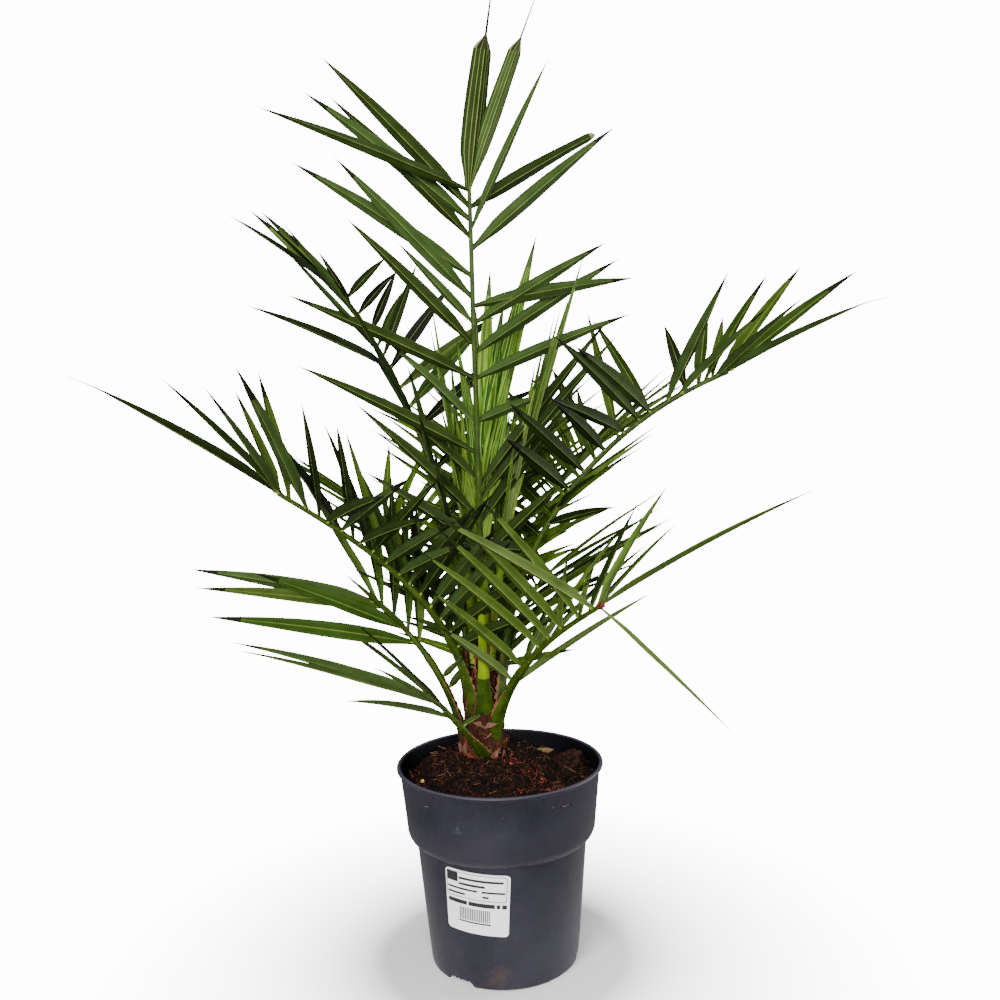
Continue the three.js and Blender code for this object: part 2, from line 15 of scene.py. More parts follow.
import bmesh
import bpy
import numpy as np
from mathutils import Euler, Matrix, Vector, noise

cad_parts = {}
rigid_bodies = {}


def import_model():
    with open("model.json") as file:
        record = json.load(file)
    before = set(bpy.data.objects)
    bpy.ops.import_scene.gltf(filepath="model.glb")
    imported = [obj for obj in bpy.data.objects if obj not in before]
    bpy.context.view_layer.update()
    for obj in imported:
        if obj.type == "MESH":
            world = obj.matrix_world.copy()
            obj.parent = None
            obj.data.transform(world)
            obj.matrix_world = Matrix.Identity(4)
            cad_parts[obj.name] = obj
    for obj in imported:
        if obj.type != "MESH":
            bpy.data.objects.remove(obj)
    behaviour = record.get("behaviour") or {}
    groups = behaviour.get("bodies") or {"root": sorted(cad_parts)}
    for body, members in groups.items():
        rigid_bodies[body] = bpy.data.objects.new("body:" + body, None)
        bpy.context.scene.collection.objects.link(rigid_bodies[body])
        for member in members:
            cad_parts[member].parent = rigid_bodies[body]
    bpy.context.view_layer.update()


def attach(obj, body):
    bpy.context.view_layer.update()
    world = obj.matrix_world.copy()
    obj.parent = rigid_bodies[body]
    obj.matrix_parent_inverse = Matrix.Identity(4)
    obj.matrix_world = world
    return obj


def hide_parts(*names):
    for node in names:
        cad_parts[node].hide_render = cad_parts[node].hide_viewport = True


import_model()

LOG = logging.getLogger("palm")
MM = 0.001
UP = np.array([0.0, 0.0, 1.0])
SLANT = np.array([0.31, 0.17, 0.93])  # a direction that no tube follows

Array = np.ndarray
Piece = bpy.types.Object
Pair = tuple[float, float]
Color = tuple[float, float, float]
Box = tuple[float, float, float, float]  # left, low, right, high
Spot = tuple[float, float, float, float]  # a place and its radius, in millimetres


# ---------------- numbers and lines


def jitter(seed: float, k: float) -> float:
    """Give a repeatable number from -1 to 1.

    Args:
        seed: The frond's own seed.
        k: The leaflet's count on that frond.

    Returns:
        The number.
    """
    wave = math.sin(seed * 12.9898 + k * 78.233) * 43758.5453
    return (wave - math.floor(wave)) * 2 - 1


def mix(low: float, high: float, share: float) -> float:
    """Give the value at a share of the way from low to high."""
    return low + (high - low) * share


def smooth(values: Array, low: float, high: float) -> Array:
    """Ease values from 0 at low to 1 at high."""
    t = np.clip((values - low) / (high - low), 0, 1)
    return t * t * (3 - 2 * t)


def unit(vector: Array) -> Array:
    """Give a vector, or each row of vectors, a length of one."""
    return vector / np.linalg.norm(vector, axis=-1, keepdims=True)


def circle(count: int) -> Array:
    """Give the angles of points spread evenly round a circle, from 0."""
    return np.linspace(0, 2 * math.pi, count, endpoint=False)


def around(radius: Any, turn: Any, height: Any) -> Array:
    """Give points from their distances from the Z axis, their turns round it and their heights."""
    rows = np.broadcast_arrays(radius * np.cos(turn), radius * np.sin(turn), height)
    return np.stack(rows, -1)


def paint(code: int) -> Color:
    """Turn a 0xRRGGBB paint code into linear red, green and blue.

    Args:
        code: The paint as it looks on a screen.

    Returns:
        The colour that a shader takes.
    """
    channels = [((code >> shift) & 255) / 255 for shift in (16, 8, 0)]
    return tuple(c / 12.92 if c <= 0.04045 else ((c + 0.055) / 1.055) ** 2.4 for c in channels)


# ---------------- shader expressions


def add_node(tree: bpy.types.NodeTree, kind: str, settings: dict[str, Any],
             inputs: dict[Any, Any]) -> bpy.types.Node:
    """Add a node to a tree.

    Args:
        tree: The tree of a material, of the world or of a modifier.
        kind: The node's type.
        settings: What is set on the node itself.
        inputs: Each socket's value, or the Field or socket that feeds it, by name or number.

    Returns:
        The node.
    """
    made = tree.nodes.new(kind)
    for key, value in settings.items():
        setattr(made, key, value)
    for key, value in inputs.items():
        source = value.socket if isinstance(value, Field) else value
        if isinstance(source, bpy.types.NodeSocket):
            tree.links.new(source, made.inputs[key])
        else:
            made.inputs[key].default_value = source
    return made


class Field:
    """A shader socket that adds its Math nodes when it stands in an expression."""

    def __init__(self, shader: "Shader", socket: bpy.types.NodeSocket) -> None:
        """Wrap an output socket of a shader."""
        self.shader = shader
        self.socket = socket

    def _math(self, operation: str, first: Any, second: Any = 0.0) -> "Field":
        """Add a Math node for two operands."""
        node = self.shader.node("ShaderNodeMath", {"operation": operation}, {0: first, 1: second})
        return Field(self.shader, node.outputs[0])

    def __add__(self, other: Any) -> "Field":
        """Add."""
        return self._math("ADD", self, other)

    __radd__ = __add__

    def __rsub__(self, other: Any) -> "Field":
        """Take this from a number."""
        return self._math("SUBTRACT", other, self)

    def __mul__(self, other: Any) -> "Field":
        """Multiply."""
        return self._math("MULTIPLY", self, other)

    __rmul__ = __mul__

    def clamp(self, low: float, high: float) -> "Field":
        """Stretch the values from low to high over 0 to 1, and cut off the rest.

        Args:
            low: The value that becomes 0.
            high: The value that becomes 1.

        Returns:
            The stretched values.
        """
        limits = {"Value": self, "From Min": low, "From Max": high}
        node = self.shader.node("ShaderNodeMapRange", {"clamp": True}, limits)
        return Field(self.shader, node.outputs["Result"])

    def sine(self) -> "Field":
        """Give the sine."""
        return self._math("SINE", self)


class Shader:
    """A material with a Principled surface, whose nodes are added by name."""

    def __init__(self, name: str) -> None:
        """Make the material and find its surface node.

        Args:
            name: The material's name.
        """
        self.material = bpy.data.materials.new(name)
        self.material.use_nodes = True
        self.tree = self.material.node_tree
        self.surface = self.tree.nodes["Principled BSDF"]
        self._where: Optional[Field] = None

    def node(self, kind: str, settings: dict[str, Any], inputs: dict[Any, Any]) -> bpy.types.Node:
        """Add a node to the material, as add_node does."""
        return add_node(self.tree, kind, settings, inputs)

    def where(self) -> Field:
        """Give the place on the object, in metres.

        Returns:
            The Object coordinates.
        """
        if self._where is None:
            node = self.node("ShaderNodeTexCoord", {}, {})
            self._where = Field(self, node.outputs["Object"])
        return self._where

    def axis(self, letter: str, of: Field) -> Field:
        """Give one coordinate of a place or a vector."""
        return Field(self, self.node("ShaderNodeSeparateXYZ", {}, {0: of}).outputs[letter])

    def map(self) -> Field:
        """Give the place on the piece's own map: across a leaflet, and along it."""
        return Field(self, self.node("ShaderNodeUVMap", {"uv_map": "along"}, {}).outputs["UV"])

    def noise(self, scale: float, detail: float = 2.0, stretch: Sequence[float] = (1, 1, 1)) -> Field:
        """Give a soft noise from 0 to 1.

        Args:
            scale: Patches in a metre.
            detail: Octaves of finer noise.
            stretch: How much finer it is along each axis.

        Returns:
            The noise.
        """
        where = self.where()
        if tuple(stretch) != (1, 1, 1):
            mapped = self.node("ShaderNodeMapping", {}, {"Vector": where, "Scale": tuple(stretch)})
            where = Field(self, mapped.outputs[0])
        node = self.node("ShaderNodeTexNoise", {}, {"Vector": where, "Scale": scale, "Detail": detail})
        return Field(self, node.outputs["Fac"])

    def blend(self, factor: Any, first: Any, second: Any) -> Field:
        """Mix two colours.

        Args:
            factor: The second colour's share.
            first: A colour or a Field.
            second: A colour or a Field.

        Returns:
            The mixed colour.
        """
        colors = [c if isinstance(c, Field) else (*c, 1) for c in (first, second)]
        inputs = {0: factor, 6: colors[0], 7: colors[1]}
        node = self.node("ShaderNodeMix", {"data_type": "RGBA"}, inputs)
        return Field(self, node.outputs[2])

    def near(self, place: Sequence[float], radius: float) -> Field:
        """Give 1 at a place, in millimetres, falling to 0 at a radius from it.

        Args:
            place: The middle.
            radius: How far it reaches.

        Returns:
            The nearness.
        """
        ends = {0: self.where(), 1: tuple(c * MM for c in place)}
        gap = self.node("ShaderNodeVectorMath", {"operation": "DISTANCE"}, ends)
        return 1 - Field(self, gap.outputs["Value"]).clamp(0, radius * MM)

    def bump(self, height: Field, depth: float) -> None:
        """Raise the surface by a height from 0 to 1, times a depth in millimetres.

        Args:
            height: The height's Field.
            depth: The depth.
        """
        inputs = {"Height": height, "Distance": depth * MM, "Strength": 1.0}
        node = self.node("ShaderNodeBump", {}, inputs)
        self.tree.links.new(node.outputs["Normal"], self.surface.inputs["Normal"])

    def set(self, **sockets: Any) -> None:
        """Set the surface's sockets, with _ for a space in a name.

        Args:
            **sockets: The value, colour or Field of each.
        """
        for name, value in sockets.items():
            socket = self.surface.inputs[name.replace("_", " ")]
            if isinstance(value, Field):
                self.tree.links.new(value.socket, socket)
            elif isinstance(value, tuple):
                socket.default_value = (*value, 1)
            else:
                socket.default_value = value


# ---------------- finishes


@dataclass(frozen=True)
class Finish:
    """What a surface is made of. Its colours are 0xRRGGBB paint codes."""

    name: str
    color: int

    def dress(self, shader: Shader) -> None:
        """Give the shader this finish's nodes and values."""
        raise NotImplementedError

    @lru_cache(maxsize=None)
    def material(self) -> bpy.types.Material:
        """Make the material once.

        Returns:
            The material, the same one at each call.
        """
        shader = Shader(self.name)
        self.dress(shader)
        return shader.material


@dataclass(frozen=True)
class LeafSkin(Finish):
    """The skin of a leaflet: one plain green, with fine veins along it."""

    roughness: float = 0.5
    veins: float = 0.06

    def dress(self, shader: Shader) -> None:
        """Cloud the green and raise the veins.

        Args:
            shader: The shader to fill.
        """
        across = shader.axis("X", shader.map())
        veins = (across * 46.0).sine() * 0.5 + 0.5
        cloud = shader.noise(60.0, 3.0)
        plain = paint(self.color)
        light = tuple(min(1.0, c * 1.35 + 0.004) for c in plain)
        dark = tuple(c * 0.74 for c in plain)
        color = shader.blend(cloud.clamp(0.3, 0.7) * 0.65 + veins * 0.35, dark, light)
        shader.bump(veins, self.veins)
        shader.set(
            Base_Color=color,
            Roughness=shader.noise(350.0) * 0.16 + (self.roughness - 0.12),
            Specular_IOR_Level=0.03,
        )


@dataclass(frozen=True)
class RibSkin(Finish):
    """The skin of a rib: streaked lengthwise, with small pale and brown flecks."""

    light: int
    fleck: int
    roughness: float = 0.45

    def dress(self, shader: Shader) -> None:
        """Streak the green, fleck it and raise the streaks.

        Args:
            shader: The shader to fill.
        """
        across = shader.axis("X", shader.map())
        streak = (across * 34.0).sine() * 0.5 + 0.5
        cloud = shader.noise(90.0, 4.0)
        color = shader.blend(
            cloud.clamp(0.35, 0.7) * 0.8 + streak * 0.2, paint(self.color), paint(self.light))
        fleck = shader.noise(520.0, 1.0).clamp(0.68, 0.74)
        color = shader.blend(fleck * 0.7, color, paint(self.fleck))
        shader.bump(streak * 0.7 + shader.noise(900.0) * 0.3, 0.12)
        shader.set(Base_Color=color, Roughness=self.roughness, Specular_IOR_Level=0.15)


@dataclass(frozen=True)
class Husk(Finish):
    """Dry fibre, husk or wood: two browns in streaks along Z, and a rough surface."""

    light: int
    grain: float = 700.0
    depth: float = 0.35

    def dress(self, shader: Shader) -> None:
        """Streak the browns along Z and roughen the surface.

        Args:
            shader: The shader to fill.
        """
        grain = shader.noise(self.grain, 4.0, (1, 1, 0.12))
        patch = shader.noise(110.0, 2.0)
        streaks = grain.clamp(0.32, 0.72) * 0.7 + patch.clamp(0.35, 0.65) * 0.3
        color = shader.blend(streaks, paint(self.color), paint(self.light))
        shader.bump(grain, self.depth)
        shader.set(Base_Color=color, Roughness=0.9, Specular_IOR_Level=0.2)


@dataclass(frozen=True)
class Peat(Finish):
    """Moist peat: dark crumbs with lighter and redder ones among them."""

    light: int
    gloss: float = 0.8

    def dress(self, shader: Shader) -> None:
        """Mottle the crumbs and roughen the surface.

        Args:
            shader: The shader to fill.
        """
        patch = shader.noise(240.0, 5.0)
        crumb = shader.noise(1500.0, 3.0)
        color = shader.blend(patch.clamp(0.4, 0.68), paint(self.color), paint(self.light))
        shader.bump(crumb, 0.8)
        roughness = crumb * 0.3 + (self.gloss - 0.15)
        shader.set(Base_Color=color, Roughness=roughness, Specular_IOR_Level=0.12)


@dataclass(frozen=True)
class PotPlastic(Finish):
    """The pot's dark moulded plastic: a little dust, small scuffs, water stains low down, and a painted
    highlight along the lip.
    """

    dust_and_lip_highlight: int
    stain: int
    scuffs: tuple[Spot, ...]
    stains: tuple[Spot, ...]
    lip: Pair = (0.1638, 0.1645)  # the heights, in metres, over which the painted highlight on the lip starts
    gloss: float = 0.35

    def dress(self, shader: Shader) -> None:
        """Dust, scuff and stain the plastic, and wear its lip.

        Args:
            shader: The shader to fill.
        """
        cloud = shader.noise(16.0, 3.0).clamp(0.35, 0.75)
        dust_and_lip_highlight, stain = paint(self.dust_and_lip_highlight), paint(self.stain)
        color = shader.blend(cloud * 0.2, paint(self.color), dust_and_lip_highlight)
        speck = shader.noise(1100.0, 1.0).clamp(0.68, 0.75)
        rubbed = shader.noise(420.0, 5.0).clamp(0.52, 0.60)
        scuff = speck * 0.5
        for *place, radius in self.scuffs:
            scuff = scuff + shader.near(place, radius).clamp(0.0, 0.9) * rubbed * 0.4
        color = shader.blend(scuff.clamp(0.0, 1.0), color, dust_and_lip_highlight)
        blotch = shader.noise(120.0, 5.0).clamp(0.38, 0.66)
        for *place, radius in self.stains:
            wet = shader.near(place, radius).clamp(0.0, 0.9) * blotch
            color = shader.blend(wet * 0.6, color, stain)
        # A pale line along the top of the lip, in the dust colour, is a painted highlight.
        lip = shader.axis("Z", shader.where()).clamp(*self.lip)
        color = shader.blend(lip * 0.45, color, dust_and_lip_highlight)
        shader.bump(shader.noise(2600.0, 2.0), 0.05)
        shader.set(
            Base_Color=color,
            Roughness=cloud * 0.1 + scuff * 0.1 + 0.45,
            Specular_IOR_Level=self.gloss,
        )


@dataclass(frozen=True)
class Paper(Finish):
    """Coated paper, or the ink on it."""

    roughness: float

    def dress(self, shader: Shader) -> None:
        """Cloud the paper a little.

        Args:
            shader: The shader to fill.
        """
        fibre = shader.noise(700.0, 4.0)
        plain = paint(self.color)
        dark = tuple(c * 0.93 for c in plain)
        color = shader.blend(fibre.clamp(0.3, 0.7), dark, plain)
        shader.bump(fibre, 0.03)
        shader.set(Base_Color=color, Roughness=fibre * 0.1 + (self.roughness - 0.05))


@dataclass(frozen=True)
class Foliage:
    """The finishes of one age of frond, or darker copies of them as painted shade."""

    uppers: tuple[LeafSkin, ...]
    backs: tuple[LeafSkin, ...]
    midrib: LeafSkin
    tip_soft: LeafSkin
    tip_dark: LeafSkin
    dry: LeafSkin
    rib: RibSkin
    knot: RibSkin
    edge: Husk

    def slots(self) -> list[LeafSkin]:
        """List the leaflets' skins in the order of their material slots."""
        return [*self.uppers, *self.backs, self.midrib, self.tip_soft, self.tip_dark, self.dry]


def leaf_skins(*rows: tuple[str, int, float]) -> tuple[LeafSkin, ...]:
    """Make leaflets' skins from rows of name, paint and roughness."""
    return tuple(LeafSkin(*row) for row in rows)


DRY_TIP = LeafSkin("dry_tip", 0x7E7150, 0.7, 0.12)
BOOT_EDGE = Husk("boot_edge", 0x40200F, 0x8C5C44, 900.0, 0.2)
GROWN_LEAVES = Foliage(
    # The fourth upper, the shade green, is painted shade dealt to a share of the leaflets; the others differ
    # at random.
    uppers=leaf_skins(
        ("leaf_deep_green", 0x2A4006, 0.5), ("leaf_green", 0x40580E, 0.52),
        ("leaf_olive_green", 0x506A26, 0.54), ("leaf_shade_green", 0x1A2A04, 0.48)),
    backs=leaf_skins(
        ("leaf_back_green", 0x40561C, 0.56), ("leaf_back_grey", 0x4C5F2C, 0.6)),
    midrib=LeafSkin("leaf_midrib", 0x90A052, 0.5),
    tip_soft=LeafSkin("leaf_tip_brown_green", 0x1E280C, 0.55),
    tip_dark=LeafSkin("leaf_tip_dark", 0x0C0D06, 0.6),
    dry=DRY_TIP,
    rib=RibSkin("rib_green", 0x1C2E06, 0x384C0C, 0x78783A),
    knot=RibSkin("leaf_knot", 0x5C6C1C, 0x8A9040, 0x8A5A2C),
    edge=BOOT_EDGE,
)
YOUNG_LEAVES = Foliage(
    uppers=leaf_skins(
        ("young_leaf_green", 0x456812, 0.46), ("young_leaf_light", 0x5A7C22, 0.48),
        ("young_leaf_deep", 0x264A08, 0.46), ("young_leaf_yellow", 0x74942E, 0.48)),
    backs=leaf_skins(
        ("young_back_green", 0x4A6822, 0.52), ("young_back_grey", 0x566C38, 0.55)),
    midrib=LeafSkin("young_midrib", 0xA0B860, 0.48),
    tip_soft=LeafSkin("young_tip_olive", 0x46592A, 0.52),
    tip_dark=LeafSkin("young_tip_dark", 0x2A3216, 0.55),
    dry=DRY_TIP,
    rib=RibSkin("young_rib", 0x5F7F1C, 0x8AA02E, 0xA4A45A),
    knot=RibSkin("young_knot", 0x8A9A34, 0xAFB35E, 0x9A6A34),
    edge=BOOT_EDGE,
)
# The outer and shaded sets are darker copies of the grown skins, dealt to fronds that stand more in shade:
# painted shade.
OUTER_SHADED_LEAVES = replace(
    GROWN_LEAVES,
    midrib=LeafSkin("outer_midrib", 0x6A7A36, 0.5),
    tip_soft=LeafSkin("outer_tip_soft", 0x141C06, 0.55),
    uppers=leaf_skins(
        ("outer_leaf_deep", 0x162204, 0.5), ("outer_leaf_green", 0x2A4010, 0.52),
        ("outer_leaf_olive", 0x3C4E1A, 0.54), ("outer_leaf_shade", 0x0A0F02, 0.48)),
    backs=leaf_skins(
        ("outer_back_green", 0x2A3812, 0.56), ("outer_back_grey", 0x34461E, 0.6)),
)
# Darker still: painted shade for the tall frond and the left and right fronds.
SHADED_LEAVES = replace(
    OUTER_SHADED_LEAVES,
    uppers=leaf_skins(
        ("shaded_leaf_deep", 0x121C02, 0.5), ("shaded_leaf_green", 0x223407, 0.52),
        ("shaded_leaf_olive", 0x344610, 0.54), ("shaded_leaf_shade", 0x0A0F02, 0.48)),
    backs=leaf_skins(
        ("shaded_back_green", 0x1E2C08, 0.56), ("shaded_back_grey", 0x2E401A, 0.6)),
)
PETIOLE = RibSkin("petiole_lime", 0x55700A, 0x7C9208, 0x9C9A40, 0.4)

SHEATH = Husk("stem_fibre_brown", 0x0E0503, 0x4A2314, 800.0, 0.6)
FIBRES = (
    Husk("fibre_red_brown", 0x4A2012, 0x7E3F24),
    Husk("fibre_dark", 0x1F0F09, 0x3C2014),
    Husk("fibre_straw", 0x7A553C, 0xA8805E),
)
HUSK_TAN = Husk("husk_tan", 0x42261A, 0x8A6250, 500.0, 0.3)
HUSK_RED = Husk("husk_red", 0x3C160C, 0x7A3A20, 500.0, 0.3)
BED = Peat("peat_bed", 0x040201, 0x1C0E09)
CRUMBS = (
    Peat("peat_dark", 0x050302, 0x1A0D08),
    Peat("peat_brown", 0x140905, 0x3A2212),
    Peat("peat_red_brown", 0x2E130A, 0x5C2A18),
)
GRANULE = Peat("red_granule", 0x7A1A16, 0xC2463A, 0.6)
BARK = Peat("bark_lump", 0x0C0604, 0x341A12)
CHIP = Husk("wood_chip", 0x54402A, 0x84704E)
ROOT = Husk("hair_root", 0xA07A64, 0xD0B09A)
BEAD = Peat("feed_bead", 0xB08A3A, 0xD8B866, 0.45)
PLASTIC = PotPlastic(
    "dark_pot_plastic", 0x0C0A18, 0x4C4958, 0x3E3024,
    scuffs=((-33, -73, 137, 8), (-52, -56, 128, 5)),
    stains=((-10, -66, 4, 22), (-4, -66, 14, 12)))
# The inner wall's near-black copy of the plastic is painted shade inside the pot.
SHADED_INNER_PLASTIC = PotPlastic(
    "inner_pot_shaded_plastic", 0x060509, 0x14141A, 0x3E3024, scuffs=(), stains=(), gloss=0.08)
WHITE_PAPER = Paper("label_paper", 0xF1F1F0, 0.5)
INK = Paper("label_ink", 0x121216, 0.6)


# ---------------- meshes


def lattice(rows: int, columns: int) -> tuple[Array, Array]:
    """Give the four-cornered faces over rows of points, where each row closes on itself.

    Args:
        rows: How many rows there are, from the first to the last.
        columns: How many points a row has.

    Returns:
        The corners of each face, and each corner's place on the map.
    """
    grid = np.meshgrid(np.arange(rows - 1), np.arange(columns), indexing="ij")
    row, column = (a.ravel() for a in grid)
    following = (column + 1) % columns
    faces = np.stack(
        [row * columns + column, row * columns + following,
         (row + 1) * columns + following, (row + 1) * columns + column], 1)
    left, right = column / columns, (column + 1) / columns
    low, high = row / (rows - 1), (row + 1) / (rows - 1)
    corners = [(left, low), (right, low), (right, high), (left, high)]
    return faces, np.stack([np.stack(pair, 1) for pair in corners], 1)


class MeshBuffer:
    """Points and faces in millimetres, gathered until they become one mesh in metres."""

    def __init__(self) -> None:
        """Start with nothing."""
        self.points: list[Array] = []
        self.faces: list[Array] = []
        self.places: list[Array] = []
        self.skins: list[Array] = []
        self.count = 0

    def add(self, points: Array, faces: Array, places: Array, skins: Array) -> None:
        """Add points and the faces between them.

        Args:
            points: The points, one a row.
            faces: Four corners a face, counted from the first of these points; -1 ends a triangle.
            places: Each corner's place on the map.
            skins: Each face's material slot.
        """
        self.points.append(points)
        self.faces.append(np.where(faces < 0, -1, faces + self.count))
        self.places.append(places)
        self.skins.append(skins)
        self.count += len(points)

    def loft(self, loops: Array, skins: Any = 0, open_ends: bool = False) -> None:
        """Add a closed skin over loops that turn left as seen from ahead.

        Args:
            loops: The loops' points, as rows x points x 3.
            skins: The material slot, or one for each face, as (rows - 1) x points.
            open_ends: Leave the ends open, where the points themselves close them.
        """
        rows, columns = loops.shape[:2]
        faces, places = lattice(rows, columns)
        slots = np.broadcast_to(np.asarray(skins), (rows - 1, columns)).ravel()
        points = loops.reshape(-1, 3)
        if not open_ends:
            points = np.vstack([points, loops[0].mean(0), loops[-1].mean(0)])
            here = np.arange(columns)
            following = (here + 1) % columns
            start, end = np.full(columns, rows * columns), np.full(columns, rows * columns + 1)
            last, none = (rows - 1) * columns, np.full(columns, -1)
            foot = np.stack([following, here, start, none], 1)
            head = np.stack([last + here, last + following, end, none], 1)
            faces = np.vstack([faces, foot, head])
            places = np.vstack([places, places[:columns], places[-columns:]])
            slots = np.concatenate([slots, slots[:columns], slots[-columns:]])
        self.add(points, faces, places, slots)

    def sheet(self, rows: Array) -> None:
        """Add an open sheet over closed rows of points, as rows x points x 3."""
        faces, places = lattice(*rows.shape[:2])
        self.add(rows.reshape(-1, 3), faces, places, np.zeros(len(faces), int))

    def build(self, name: str, materials: Sequence[bpy.types.Material], crease: float = 40.0,
              weld: bool = False) -> Piece:
        """Make the object.

        Args:
            name: The piece's name.
            materials: Its material slots.
            crease: The angle, in degrees, past which an edge is sharp.
            weld: Merge points that lie on each other, and turn all faces outwards.

        Returns:
            The object, at the origin.
        """
        points = np.vstack(self.points) * MM
        faces, places = np.vstack(self.faces), np.vstack(self.places)
        used = faces >= 0
        sizes = used.sum(1)
        mesh = bpy.data.meshes.new(name)
        mesh.vertices.add(len(points))
        mesh.vertices.foreach_set("co", points.astype(np.float32).ravel())
        mesh.loops.add(int(sizes.sum()))
        mesh.loops.foreach_set("vertex_index", faces[used].astype(np.int32))
        mesh.polygons.add(len(faces))
        starts = np.concatenate([[0], np.cumsum(sizes)[:-1]]).astype(np.int32)
        mesh.polygons.foreach_set("loop_start", starts)
        mesh.polygons.foreach_set("material_index", np.concatenate(self.skins).astype(np.int32))
        mesh.update(calc_edges=True)
        mesh.uv_layers.new(name="along").data.foreach_set("uv", places[used].astype(np.float32).ravel())
        for material in materials:
            mesh.materials.append(material)
        if weld:
            welded(mesh)
        mesh.validate()
        smoothed(mesh, crease)
        piece = bpy.data.objects.new(name, mesh)
        bpy.context.scene.collection.objects.link(piece)
        return piece


def welded(mesh: bpy.types.Mesh, reach: float = 2e-6) -> None:
    """Merge a mesh's doubled points and turn its faces outwards.

    Args:
        mesh: The mesh.
        reach: How near, in metres, points are one.
    """
    work = bmesh.new()
    work.from_mesh(mesh)
    bmesh.ops.remove_doubles(work, verts=work.verts, dist=reach)
    bmesh.ops.dissolve_degenerate(work, edges=work.edges, dist=reach / 4)
    bmesh.ops.recalc_face_normals(work, faces=work.faces)
    work.to_mesh(mesh)
    work.free()


def smoothed(mesh: bpy.types.Mesh, crease: float) -> None:
    """Shade a mesh smooth, with edges sharp past an angle in degrees."""
    mesh.shade_smooth()
    mesh.set_sharp_from_angle(angle=math.radians(crease))


def applied(piece: Piece, modifier: bpy.types.Modifier) -> bpy.types.Mesh:
    """Give the plain mesh that a piece's modifier makes, and take the modifier off.

    Args:
        piece: The piece.
        modifier: The modifier that shapes it.

    Returns:
        The mesh.
    """
    graph = bpy.context.evaluated_depsgraph_get()
    mesh = bpy.data.meshes.new_from_object(piece.evaluated_get(graph), depsgraph=graph)
    piece.modifiers.remove(modifier)
    return mesh


def spun(profile: Array, segments: int) -> Array:
    """Turn a closed (radius, height) profile round Z, with the first row again at the end.

    Args:
        profile: The profile's points, inside on the left as they run.
        segments: Steps round the axis.

    Returns:
        Loops of points, one for each step.
    """
    turn = np.linspace(0, 2 * math.pi, segments + 1)[:, None]
    return around(profile[:, 0], turn, profile[:, 1])


def arc(middle: Pair, radius: float, start: float, end: float, steps: int) -> list[Pair]:
    """Give points round a middle from one angle to another, in degrees."""
    turns = np.radians(np.linspace(start, end, steps))
    return [(middle[0] + radius * math.cos(t), middle[1] + radius * math.sin(t)) for t in turns]


def tube(path: Array, radii: Array, sides: int) -> Array:
    """Give a round tube's loops along a path.

    Args:
        path: The points along the middle.
        radii: The radius at each point.
        sides: Points in a loop.

    Returns:
        Loops that turn left as seen from ahead.
    """
    ahead = unit(np.gradient(path, axis=0))
    aside = unit(np.cross(ahead, SLANT))
    above = np.cross(ahead, aside)
    turn = circle(sides)
    ring = aside[:, None] * np.cos(turn)[None, :, None] + above[:, None] * np.sin(turn)[None, :, None]
    return path[:, None] + ring * radii[:, None, None]


def lump(name: str, seed: int, stretch: Sequence[float], roughness: float, detail: int) -> Piece:
    """Make a rough lump about one metre across, for strewing or for shaping.

    Args:
        name: The object's name.
        seed: Which of its shapes it takes.
        stretch: Its size along each axis.
        roughness: How far its points stray from a ball.
        detail: The ball's subdivisions.

    Returns:
        The object.
    """
    draw = np.random.default_rng(seed)
    work = bmesh.new()
    bmesh.ops.create_icosphere(work, subdivisions=detail, radius=0.5)
    shift = draw.uniform(-40, 40, 3)
    for vert in work.verts:
        place = Vector(np.array(vert.co) * 2.6 + shift)
        vert.co *= 1 + roughness * noise.noise(place) + roughness * 0.5 * noise.noise(place * 2.7)
        vert.co = Vector(np.array(vert.co) * stretch)
    mesh = bpy.data.meshes.new(name)
    work.to_mesh(mesh)
    work.free()
    return bpy.data.objects.new(name, mesh)


# ---------------- strewn pieces


